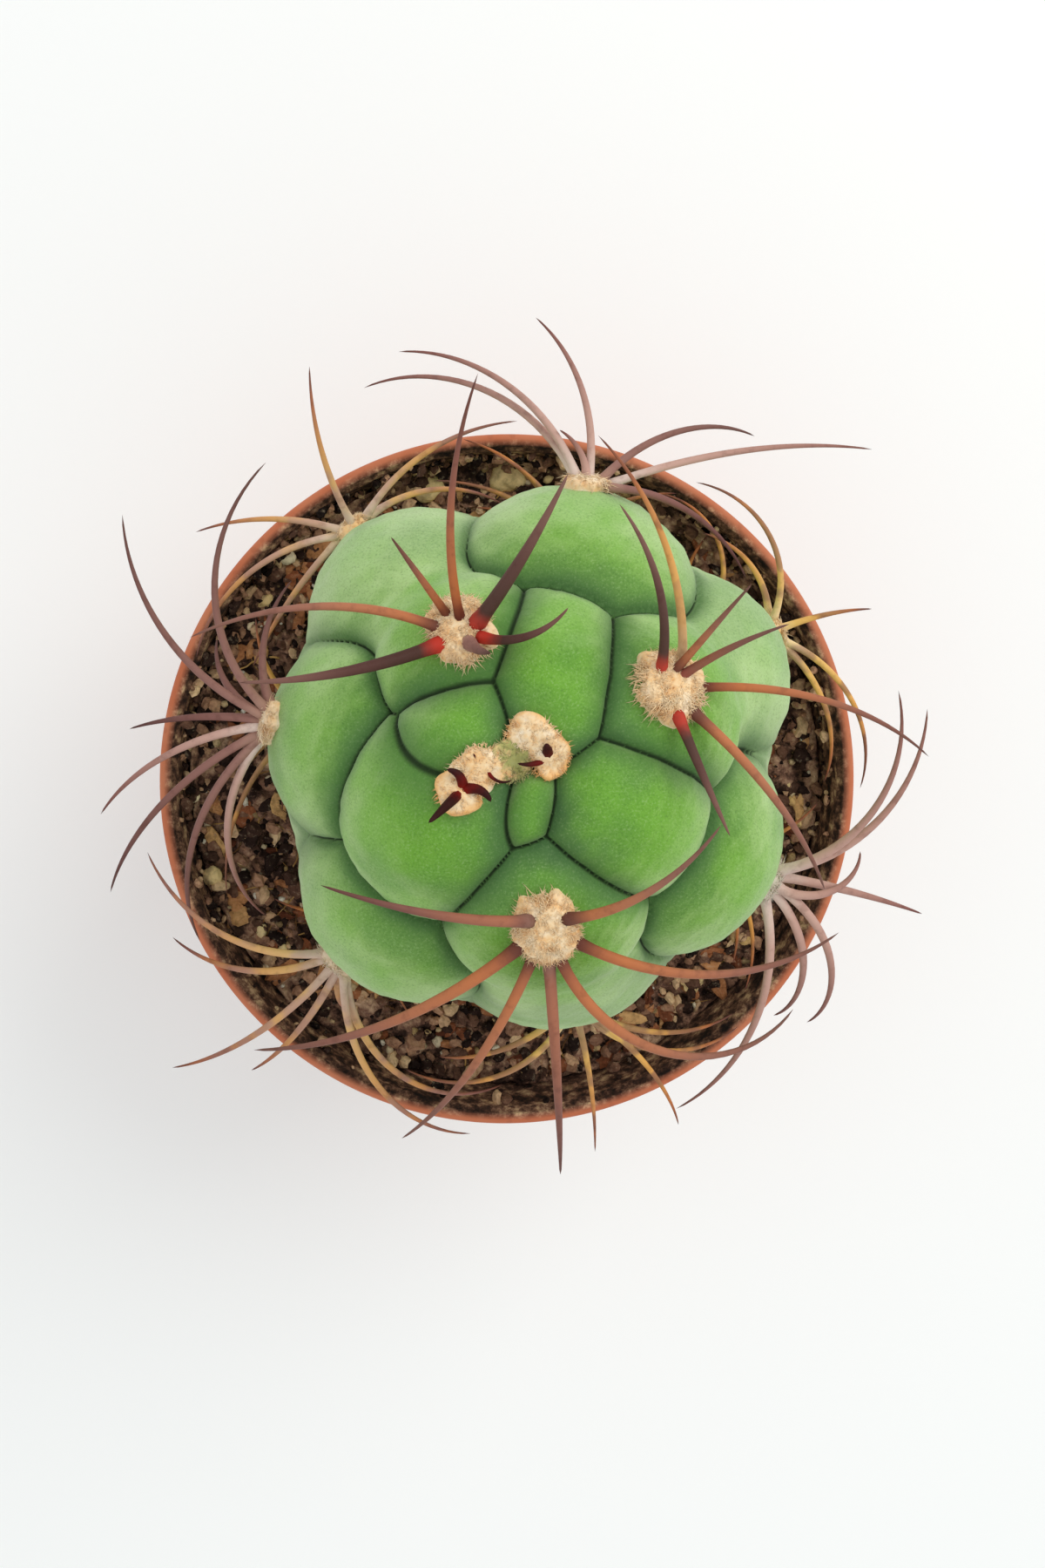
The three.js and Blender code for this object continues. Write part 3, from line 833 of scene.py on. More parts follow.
@dataclass
class Pot:
    """A round nursery pot: tapering wall, stepped collar, beaded rim and six drain holes.

    Attributes:
        rim_radius: Outer radius of the rim.
        height: Height of the rim.
        base_radius: Radius of the base.
        wall: Thickness of the wall.
        floor: Thickness of the floor.
        collar_height: How far below the rim the collar's step lies.
        collar_step: How far the collar stands out from the wall below.
        lip: Width of the rim's flat.
        drains: Number of drain holes.
        drain_radius: Radius of a drain hole.
        drain_circle: Distance of the drain holes from the axis.
        drain_turn: Azimuth of the first drain hole.
        segments: Steps round the pot.
    """

    rim_radius: float = 42.5
    height: float = 66.0
    base_radius: float = 30.0
    wall: float = 1.2
    floor: float = 1.5
    collar_height: float = 12.0
    collar_step: float = 1.4
    lip: float = 1.3
    drains: int = 6
    drain_radius: float = 3.2
    drain_circle: float = 20.0
    drain_turn: float = 15.0
    segments: int = 288

    @property
    def shoulder(self) -> float:
        """Height of the collar's step."""
        return self.height - self.collar_height

    def inside(self, height: np.ndarray | float) -> np.ndarray:
        """Inside radius at a height."""
        top = self.rim_radius - self.lip - 0.5
        upper = top - self.collar_step * (self.height - height) / self.collar_height
        base = self.base_radius - self.wall
        lower = base + (top - 2 * self.collar_step - base) * height / self.shoulder
        return np.where(np.asarray(height) > self.shoulder, upper, lower)

    @staticmethod
    def arc(centre: tuple[float, float], radius: float, start: float, end: float, steps: int) -> np.ndarray:
        """Points of a round corner from one angle to another."""
        return np.asarray(centre) + radius * bearing(np.linspace(start, end, steps), 0)[:, :2]

    def outline(self) -> np.ndarray:
        """Radius and height round the wall, from the underside's middle to the floor's.

        The rim is a bead of two quarter arcs, and the base and the collar have rounded edges.
        """
        shoulder, top, wall = self.shoulder, self.height, self.wall
        bead, foot_round, lip_round = 0.55, 0.9, 0.45
        outer = self.rim_radius - bead
        lower_wall = np.linspace(1.2, shoulder - 1.6, 14)
        collar = np.linspace(shoulder - 0.6, top - 2.1, 6)
        inner = np.linspace(top - 0.9, shoulder + 0.2, 8)
        inner_low = np.linspace(shoulder - 0.3, self.floor + 0.6, 14)
        edge = self.rim_radius - self.lip
        return np.concatenate([
            [[0, 0], [8, 0], [18, 0], [self.base_radius - 2.0, 0]],
            self.arc((self.base_radius - 1.0, foot_round), foot_round, -90, -15, 5),
            np.stack([self.inside(lower_wall) + wall, lower_wall], axis=-1),
            np.stack([self.inside(collar) + wall, collar], axis=-1),
            self.arc((outer, top - 1.6 + bead), bead, -80, 0, 5),
            self.arc((outer, top - bead), bead, 0, 90, 6),
            self.arc((edge + 0.25, top - lip_round), lip_round, 90, 190, 6),
            np.stack([self.inside(inner), inner], axis=-1),
            np.stack([self.inside(inner_low), inner_low], axis=-1),
            [[self.base_radius - wall - 1.2, self.floor], [16, self.floor], [0, self.floor]],
        ])

    def drilled(self, pot: bpy.types.Object) -> None:
        """Cut the drain holes through the pot's floor with one Boolean difference."""
        radius, over = self.drain_radius, 4.0
        rod = np.array([[0, -over], [radius, -over], [radius, over], [0, over]])
        drills = []
        for hole in range(self.drains):
            drill = turned(rod, 32)
            drill.points += self.drain_circle * bearing(360 * hole / self.drains + self.drain_turn, 0)
            drills.append(drill)
        cutter = Shape.joined(drills).put("drain_cutter", POT_PLASTIC)
        cut = pot.modifiers.new("drains", "BOOLEAN")
        cut.operation = "DIFFERENCE"
        cut.object = cutter
        bpy.context.view_layer.update()
        graph = bpy.context.evaluated_depsgraph_get()
        done = bpy.data.meshes.new_from_object(pot.evaluated_get(graph))
        pot.modifiers.clear()
        pot.data = done
        bpy.data.objects.remove(cutter)

    def build(self) -> None:
        """Make the pot and hide the model's; the trait "inside" fades out over the rim's inner edge."""
        rim_edge, fade = 0.28, 0.4
        shape = turned(self.outline(), self.segments)
        radius, height = np.hypot(shape.points[:, 0], shape.points[:, 1]), shape.points[:, 2]
        depth = self.inside(height) + 0.7 * self.wall - radius
        inside = (depth > 0) & (height > self.floor - 0.1)
        below_rim = np.clip((self.height + rim_edge - height) / fade, 0, 1)
        shape.traits["inside"] = inside * below_rim
        pot = shape.put("pot_wall", POT_PLASTIC)
        self.drilled(pot)
        dress(pot, "pot_plastic", "pot")


def dress(piece: bpy.types.Object, slot: str, *nodes: str) -> None:
    """Hang a piece on the one body and hide the model's nodes it stands for.

    Args:
        piece: The piece.
        slot: Its material slot; not used.
        nodes: The model's nodes that it takes the place of.
    """
    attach(piece, "root")
    if nodes:
        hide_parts(*nodes)
    log.info("%s: %d faces", piece.name, len(piece.data.polygons))


# ------------------------------------------------------------------ cactus body


@dataclass(frozen=True)
class Lobe:
    """One chin-like swelling, as seen from the body's centre.

    Attributes:
        azimuth: Where its middle points.
        elevation: How high its middle points.
        reach: Distance of its middle from the body's centre.
        half_width: Sine of half the angle it covers sideways.
        half_height: Sine of half the angle it covers upwards.
        depth: How far its dome falls from the middle to the edge.
    """

    azimuth: float
    elevation: float
    reach: float
    half_width: float
    half_height: float
    depth: float

    def rise(self, ways: np.ndarray) -> tuple[np.ndarray, np.ndarray]:
        """How far the lobe reaches and how near its middle it is, in unit directions.

        The reach is reach - depth (1 - sqrt(1 - q)), with q the sum of the squares of
        (way . across) / half_width and (way . up) / half_height, and zero where q > 1.

        Args:
            ways: Unit directions, one row each.

        Returns:
            The reach, and the root of 1 - q, which is 1 in the middle and 0 outside the lobe.
        """
        axis = bearing(self.azimuth, self.elevation)
        across = bearing(self.azimuth + 90, 0)
        up = np.cross(axis, across)
        q = (ways @ across / self.half_width) ** 2 + (ways @ up / self.half_height) ** 2
        dome = np.where(ways @ axis > 0, np.sqrt(np.clip(1 - q, 0, 1)), 0)
        return np.where(dome > 0, self.reach - self.depth * (1 - dome), 0), dome


@dataclass(frozen=True)
class Rib:
    """A column of lobes that run into one another over the height fold, or a lobe set off by creases."""

    fold: float
    lobes: tuple[Lobe, ...]


RIBS = (
    Rib(6.0, (
        Lobe(119, 42, 29, 0.58, 0.54, 15), Lobe(126, -5, 33.7, 0.56, 0.64, 16),
        Lobe(122, -37, 28.4, 0.56, 0.36, 11),
    )),
    Rib(1.0, (Lobe(84, 54, 28, 0.53, 0.66, 14),)),
    Rib(1.2, (Lobe(76, 11, 33, 0.62, 0.54, 14), Lobe(75, -27, 30.5, 0.58, 0.44, 12))),
    Rib(6.0, (
        Lobe(33, 44, 29.3, 0.62, 0.6, 15), Lobe(29, -5, 32.9, 0.56, 0.64, 15),
        Lobe(24, -37, 28.4, 0.56, 0.36, 11),
    )),
    Rib(1.0, (Lobe(-15, 62, 28, 0.62, 0.6, 14),)),
    Rib(1.2, (Lobe(-26, 14, 30.9, 0.64, 0.62, 14), Lobe(-26, -27, 29.8, 0.58, 0.44, 12))),
    Rib(1.0, (Lobe(-125, 83, 25, 0.28, 0.44, 11),)),
    Rib(9.0, (
        Lobe(-86, 48, 29.3, 0.62, 0.66, 15), Lobe(-79, -4, 31.2, 0.64, 0.66, 14),
        Lobe(-77, -37, 28.2, 0.56, 0.36, 11),
    )),
    Rib(1.0, (Lobe(-165, 54, 28.2, 0.7, 0.66, 14),)),
    Rib(1.5, (Lobe(-134, 8, 31.6, 0.64, 0.6, 14), Lobe(-131, -34, 29, 0.56, 0.38, 11))),
    Rib(1.0, (Lobe(147, 62, 27.3, 0.64, 0.42, 12),)),
    Rib(1.2, (Lobe(168, 12, 30.3, 0.64, 0.68, 14), Lobe(170, -27, 29.6, 0.58, 0.44, 12))),
)


@dataclass(frozen=True)
class Seat:
    """A place on the skin with its outward normal and two tangents."""

    place: np.ndarray
    normal: np.ndarray
    across: np.ndarray
    up: np.ndarray


@dataclass(frozen=True)
class Skin:
    """What the skin is like in a set of directions from the body's centre.

    Attributes:
        reach: Distance to the skin.
        gap: How far the highest rib stands over the next, which is zero along a crease.
        dome: 1 in the middle of the lobe that shows, 0 at its edge.
        waist: 0 in the crown, 1 at the waist and below.
    """

    reach: np.ndarray
    gap: np.ndarray
    dome: np.ndarray
    waist: np.ndarray


@dataclass
class CactusBody:
    """The ribbed body, a surface that every direction from its centre meets once.

    Attributes:
        centre: The point the lobes are seen from.
        core: Level and upright half axes of the core that fills between the lobes.
        core_drop: How far the core's centre lies below the body's.
        crease: Softness of the grooves between ribs in the crown.
        waist_crease: Their softness at the waist and below, where the ribs run together.
        fade: Sine of the elevation at which the grooves start to soften, and over how much they do.
        groove: How much deeper than the model the creases are cut.
        groove_width: Difference in reach of two ribs over which the cut fades.
        blend: Difference in reach of two lobes over which their colours change over.
        cells: Cells along an edge of the blown-up cube.
    """

    centre: tuple[float, float, float] = (1.5, 4.0, 79.0)
    core: tuple[float, float] = (28.5, 23.5)
    core_drop: float = 5.0
    crease: float = 0.5
    waist_crease: float = 4.0
    fade: tuple[float, float] = (0.35, 0.5)
    groove: float = 0.8
    groove_width: float = 0.35
    blend: float = 0.3
    cells: int = 127

    def heights(self, ways: np.ndarray) -> np.ndarray:
        """Reach of the core and of each rib in unit directions, one row each.

        The core's is (-b + sqrt(b^2 - a k)) / a, where a = (1 - z^2) / level^2 + z^2 / upright^2,
        b = drop z / upright^2 and k = drop^2 / upright^2 - 1. A rib's is the soft maximum of
        its lobes'.
        """
        level, upright = self.core
        square = (1 - ways[:, 2] ** 2) / level ** 2 + (ways[:, 2] / upright) ** 2
        along = self.core_drop * ways[:, 2] / upright ** 2
        rest = (self.core_drop / upright) ** 2 - 1
        rows = [(-along + np.sqrt(along ** 2 - square * rest)) / square]
        for rib in RIBS:
            row = np.zeros(len(ways))
            for lobe in rib.lobes:
                row = soft_max(row, lobe.rise(ways)[0], rib.fold)
            rows.append(row)
        return np.stack(rows)

    def waisted(self, ways: np.ndarray) -> np.ndarray:
        """0 in the crown, rising evenly with the drop in elevation to 1 at the waist and below."""
        return np.clip((self.fade[0] - ways[:, 2]) / self.fade[1], 0, 1)

    def reach(self, ways: np.ndarray) -> np.ndarray:
        """Distance to the skin in unit directions, the soft maximum of the core and the ribs."""
        rows = self.heights(ways)
        soft = self.crease + (self.waist_crease - self.crease) * self.waisted(ways)
        skin = rows[0]
        for row in rows[1:]:
            skin = soft_max(skin, row, soft)
        return skin

    def skin(self, ways: np.ndarray) -> Skin:
        """The skin in unit directions, with what its colours follow.

        The dome is a mean over the lobes, weighted by exp(rise / blend).

        Args:
            ways: Unit directions, one row each.

        Returns:
            The skin in each of them.
        """
        ranked = np.sort(self.heights(ways), axis=0)
        total, dome = np.full(len(ways), 1e-3), np.zeros(len(ways))
        for rib in RIBS:
            for lobe in rib.lobes:
                rise, middle = lobe.rise(ways)
                weight = np.exp((rise - ranked[-1]) / self.blend)
                total = total + weight
                dome = dome + weight * middle
        return Skin(self.reach(ways), ranked[-1] - ranked[-2], dome / total, self.waisted(ways))

    def on_creases(self, ways: np.ndarray) -> tuple[np.ndarray, np.ndarray]:
        """Slide the grid's corners that lie within half a cell of a crease onto it.

        On a crease the two highest rows of heights are equal. With s their difference, a slide
        is -s grad s / |grad s|^2 across the line of sight, taken three times over.

        Args:
            ways: Unit directions of the grid's corners.

        Returns:
            The directions after the slide, and which corners now lie on a crease.
        """
        order = np.argsort(self.heights(ways), axis=0)
        first, second, here = order[-1], order[-2], np.arange(len(ways))

        def apart(at: np.ndarray) -> np.ndarray:
            """How far the first row stands over the second."""
            rows = self.heights(at)
            return rows[first, here] - rows[second, here]

        slid, nudge = ways, 1e-4
        for _ in range(3):
            side = unit(np.cross(slid, [0.36, 0.48, 0.8]))
            other = np.cross(slid, side)
            start = apart(slid)
            slope = (apart(unit(slid + nudge * side)) - start) / nudge
            slope_other = (apart(unit(slid + nudge * other)) - start) / nudge
            step = start / (slope ** 2 + slope_other ** 2 + 1e-6)
            slid = unit(slid - (step * slope)[:, None] * side - (step * slope_other)[:, None] * other)
        near = np.linalg.norm(slid - ways, axis=-1) < 0.48 * (math.pi / 2) / self.cells
        return np.where(near[:, None], slid, ways), near

    def seat(self, azimuth: float, elevation: float) -> Seat:
        """The place on the skin in a direction."""
        normal = bearing(azimuth, elevation)
        across = bearing(azimuth + 90, 0)
        reach = self.reach(normal[None])[0]
        return Seat(np.asarray(self.centre) + reach * normal, normal, across, np.cross(normal, across))

    def waist(self, azimuths: np.ndarray, soil: "Soil") -> np.ndarray:
        """Elevations at which the skin goes into the soil, found by halving.

        Args:
            azimuths: Where to look, from the body's centre.
            soil: The soil that it stands in.

        Returns:
            One elevation for each azimuth.
        """
        low, high = np.full(len(azimuths), -80.0), np.full(len(azimuths), -5.0)
        for _ in range(24):
            middle = (low + high) / 2
            ways = bearing(azimuths, middle)
            skin = np.asarray(self.centre) + ways * self.reach(ways)[:, None]
            above = skin[:, 2] > soil.surface(skin[:, 0], skin[:, 1])
            low, high = np.where(above, low, middle), np.where(above, middle, high)
        return (low + high) / 2

    def build(self) -> None:
        """Make the body and hide the model's.

        A quad is turned so that its diagonal joins the corners that lie on a crease. The trait
        "lean" is 0 for skin that faces the crown's axis and 1 for skin that faces away from it.
        """
        far_gap, ripple = 8.0, 0.06
        grid, faces = blown_cube(self.cells)
        ways, creased = self.on_creases(grid)
        on = creased[faces]
        turn = on[:, 1] & on[:, 3] & ~(on[:, 0] & on[:, 2])
        faces[turn] = np.roll(faces[turn], 1, axis=1)
        skin = self.skin(ways)
        cut = self.groove * np.exp(-skin.gap / self.groove_width) * (1 - 0.8 * skin.waist)
        reach = skin.reach - cut + ripple * Waves(11, 6.0, 3).at(ways * skin.reach[:, None])
        points = np.asarray(self.centre) + ways * reach[:, None]
        # The trait "lean" drives painted shade and a painted sheen, partly real waxy bloom, in the skin's
        # colour.
        outwards = unit(ways * (1, 1, 0))
        lean = 0.5 + 0.5 * np.sum(normals(points, faces) * outwards, axis=-1)
        # The trait "gap" sets the painted crease shade and shadow; adding the waist fades them towards the
        # soil.
        gap = np.minimum(skin.gap, far_gap) + 2.0 * skin.waist ** 2
        traits = {"dome": skin.dome, "lean": lean, "gap": gap}
        body = Shape(points, faces, traits).put("cactus_skin", CACTUS_SKIN)
        dress(body, "cactus_skin", "cactus_body")


# ------------------------------------------------------------------ areoles


class Tone(Enum):
    """Colouring of a spine, as the traits red, tan, gold and rose; mauve is none of them."""

    MAUVE = (0.0, 0.0, 0.0, 0.0)
    RED = (1.0, 0.0, 0.0, 0.0)
    TAN = (0.0, 1.0, 0.0, 0.0)
    GOLD = (0.0, 0.0, 1.0, 0.0)
    ROSE = (0.0, 0.0, 0.0, 1.0)
    BRONZE = (0.0, 0.15, 2.0, 0.0)
    DUSK = (0.3, 0.6, 0.0, 0.0)
    PLUM = (0.0, 0.5, 0.0, 0.0)
    PEACH = (0.0, 0.0, 0.45, 0.8)


@dataclass(frozen=True)
class Spine:
    """A spine, which turns steadily from its heading and climb at the root to those at the tip.

    Attributes:
        length: Length along the curve.
        heading: Azimuth it points to at the root.
        heading_tip: Azimuth it points to at the tip.
        climb: Elevation it points to at the root.
        climb_tip: Elevation it points to at the tip.
        tone: Its colouring, if it isn't that of its areole.
        girth: Its thickness as a share of the model's.
        aside: How far its root is moved to the right, seen along its heading, without the tip.
    """

    length: float
    heading: float
    heading_tip: float
    climb: float
    climb_tip: float
    tone: Tone | None = None
    girth: float = 1.0
    aside: float = 0.0

    def path(self, seat: Seat, spread_out: float, lift: float, steps: int) -> np.ndarray:
        """Points from the root to the tip.

        The root stands spread_out from the seat's middle on the side the spine leaves by, and
        lift above it. Each step goes length / steps in the direction at the step's middle.

        Args:
            seat: Where the cushion sits.
            spread_out: Distance of the root from the seat's middle.
            lift: Distance of the root above the skin.
            steps: Number of steps.

        Returns:
            The points, one row each.
        """
        out = bearing(self.heading, self.climb)
        out = out - (out @ seat.normal) * seat.normal
        root = seat.place + spread_out * out + lift * seat.normal
        share = (np.arange(steps) + 0.5) / steps
        headings = self.heading + (self.heading_tip - self.heading) * share
        climbs = self.climb + (self.climb_tip - self.climb) * share
        walk = np.cumsum(bearing(headings, climbs) * self.length / steps, axis=0)
        moved = self.aside * (1 - np.linspace(0, 1, steps + 1)[:, None]) ** 2 * bearing(self.heading - 90, 0)
        return np.concatenate([root[None], root + walk]) + moved


LOW_FAN = (
    Spine(15, 30, 80, 45, 10), Spine(15, -30, -80, 45, 10),
    Spine(11, 70, 100, 20, 15), Spine(11, -70, -100, 20, 15),
)


@dataclass
class Areole:
    """A woolly cushion and the spines that grow from it.

    Attributes:
        name: The model's node that it stands for.
        azimuth: Where it sits, from the body's centre.
        elevation: How high it sits, from the body's centre.
        pad: Half width, half height and rise of the cushion.
        root: Radius of a spine where it leaves the cushion.
        tone: Colouring of the spines that name none.
        grey: How grey the wool has become.
        spines: The spines.
        fanned: Whether it has the low fan as well, with headings counted from its azimuth.
        hairs: Number of hairs on the cushion.
        swell: How much thicker the very root of a spine is.
        spread_out: How far out in the cushion a spine is rooted, as a share of its half width.
        lift: How far above the skin a spine is rooted.
        steps: Steps along a spine.
        sides: Sides of a spine.
    """

    name: str
    azimuth: float
    elevation: float
    pad: tuple[float, float, float]
    root: float
    tone: Tone
    grey: float
    spines: tuple[Spine, ...]
    fanned: bool = False
    hairs: int = 600
    swell: float = 0.35
    spread_out: float = 0.8
    lift: float = 0.4
    steps: int = 24
    sides: int = 10

    def all_spines(self) -> list[Spine]:
        """The spines, with those of the low fan turned to the areole's azimuth."""
        fan = [
            replace(one, heading=self.azimuth + one.heading, heading_tip=self.azimuth + one.heading_tip)
            for one in LOW_FAN
        ]
        return list(self.spines) + (fan if self.fanned else [])

    def spine_shape(self, seat: Seat, seed: int) -> Shape:
        """All the spines as rods that taper by 1 - 0.85 t^1.7 from a slightly swollen root.

        Args:
            seat: Where the cushion sits.
            seed: Starts the random draw of the trait "tint".

        Returns:
            The spines, with the traits that their finish reads.
        """
        spines = self.all_spines()
        spread_out = self.spread_out * self.pad[0]
        paths = np.stack([one.path(seat, spread_out, self.lift, self.steps) for one in spines])
        lengths = np.array([one.length for one in spines])
        share = np.arange(self.steps) / self.steps
        swell = 1 + self.swell * np.exp(-((share * lengths[:, None]) / 1.6) ** 2)
        girth = np.array([one.girth for one in spines])[:, None]
        radii = girth * self.root * (1 - 0.85 * share ** 1.7) * swell
        shape = rods(paths, radii, self.sides)
        shape.traits["out"] = shape.traits["along"] * spread(lengths, shape)
        shape.traits["tint"] = spread(np.random.default_rng(seed).uniform(0, 1, len(spines)), shape)
        tones = np.array([(one.tone or self.tone).value for one in spines])
        for trait, values in zip(("red", "tan", "gold", "rose"), tones.T):
            shape.traits[trait] = spread(values, shape)
        return shape

    def build(self, body: CactusBody, seed: int) -> None:
        """Make the wool and the spines and hide the model's areole.

        Args:
            body: The body it sits on.
            seed: Starts the random draws.
        """
        seat = body.seat(self.azimuth, self.elevation)
        label = self.name.replace("areole_", "")
        values = {"warm": 0.25, "grey": self.grey, "green": 0.0}
        wool = cushion(body, seat, self.pad, self.hairs, seed, values)
        dress(wool.put(f"wool_{label}", AREAL_WOOL), "areole_wool", self.name)
        dress(self.spine_shape(seat, seed).put(f"spines_{label}", SPINE_HORN), "spine", self.name)


def draped(body: CactusBody, seat: Seat, local: np.ndarray) -> np.ndarray:
    """Points laid over the skin about a seat.

    Args:
        body: The body.
        seat: The seat.
        local: Points of shape (..., 3). The first two run along the seat's tangents, and the third
            stands out from the skin along the line from the body's centre.

    Returns:
        The points, of the same shape.
    """
    centre = np.asarray(body.centre)
    ways = unit(seat.place + local[..., :1] * seat.across + local[..., 1:2] * seat.up - centre)
    reach = body.reach(ways.reshape(-1, 3)).reshape(ways.shape[:-1])
    return centre + ways * (reach + local[..., 2])[..., None]


FELT_STEEPNESS = 1.6


def felt_rise(upright: np.ndarray, height: float) -> np.ndarray:
    """Height of felt over the skin where its ball's direction rises by upright, steep near its edge."""
    return height * np.tanh(FELT_STEEPNESS * upright) / math.tanh(FELT_STEEPNESS)


def cushion(
    body: CactusBody, seat: Seat, size: tuple[float, float, float], hairs: int, seed: int,
    values: Mapping[str, float], nap: float = 1.0, ragged: float = 0.09,
) -> Shape:
    """A matted cushion that lies on the skin, with hairs fraying out of it.

    The felt is a flattened ball: in unit direction (x, y, z) it stands at size times
    (x g, y g, felt_rise(z)), with g = 1 + ragged w and w a wave field, and its top carries fine
    tufts. A hair starts in the felt and runs outwards and a little up, and bends
    towards a random direction.

    Args:
        body: The body it lies on.
        seat: Where it sits.
        size: Half width, half height and rise.
        hairs: Number of hairs.
        seed: Starts the random draw.
        values: Traits that are the same all over.
        nap: Length of the hairs against the usual.
        ragged: How far the cushion's edge departs from an oval, as a share of its size.

    Returns:
        The felt and the hairs, with the traits "tint" and "edge" and those of values.
    """
    draw = np.random.default_rng(seed)
    ways, faces = blown_cube(16)
    edge = 1 + ragged * Waves(seed, 3.6, 2, 0.6).at(ways * (size[0], size[1], 0))
    tufts = 0.045 * Waves(seed + 50, 1.1, 3, 0.75).at(ways * size) * np.clip(ways[:, 2] * 2, 0, 1)
    rise = felt_rise(ways[:, 2], size[2]) + tufts
    local = np.stack([ways[:, 0] * size[0] * edge, ways[:, 1] * size[1] * edge, rise], axis=-1)
    felt = Shape(draped(body, seat, local), faces)
    felt.traits["tint"] = np.zeros(len(felt.points))
    felt.traits["edge"] = np.hypot(ways[:, 0], ways[:, 1]) * (ways[:, 2] > 0)
    angle = draw.uniform(0, 2 * math.pi, hairs)
    ring = np.sqrt(draw.uniform(0.02, 1, hairs))
    out = np.stack([np.cos(angle), np.sin(angle)], axis=-1)
    height = felt_rise(np.sqrt(1 - ring ** 2), size[2])
    starts = np.stack([out[:, 0] * ring * size[0], out[:, 1] * ring * size[1], height], axis=-1)
    stand = np.concatenate([out * (0.25 + 0.75 * ring)[:, None], np.full((hairs, 1), 0.3)], axis=-1)
    stand = unit(stand + draw.normal(size=(hairs, 3)) * (0.45, 0.45, 0.25))
    bend = draw.normal(size=(hairs, 1, 3)) * (0.55, 0.55, 0.3) - (0, 0, 0.25)
    share = np.linspace(-0.25, 1, 5)[None, :, None]
    lengths = nap * draw.uniform(0.3, 0.85, (hairs, 1, 1)) * (0.5 + 0.6 * ring)[:, None, None]
    local = starts[:, None] + lengths * (stand[:, None] * share + bend * share * np.abs(share))
    local[..., 2] = np.maximum(local[..., 2], 0.06)
    radii = draw.uniform(0.045, 0.08, (hairs, 1)) * (1, 1, 0.85, 0.5)
    strands = rods(draped(body, seat, local), radii, 3)
    del strands.traits["along"]
    strands.traits["tint"] = spread(draw.uniform(0.2, 1, hairs), strands)
    strands.traits["edge"] = spread(ring, strands)
    shape = Shape.joined([felt, strands])
    for name, value in values.items():
        shape.traits[name] = np.full(len(shape.points), value)
    return shape


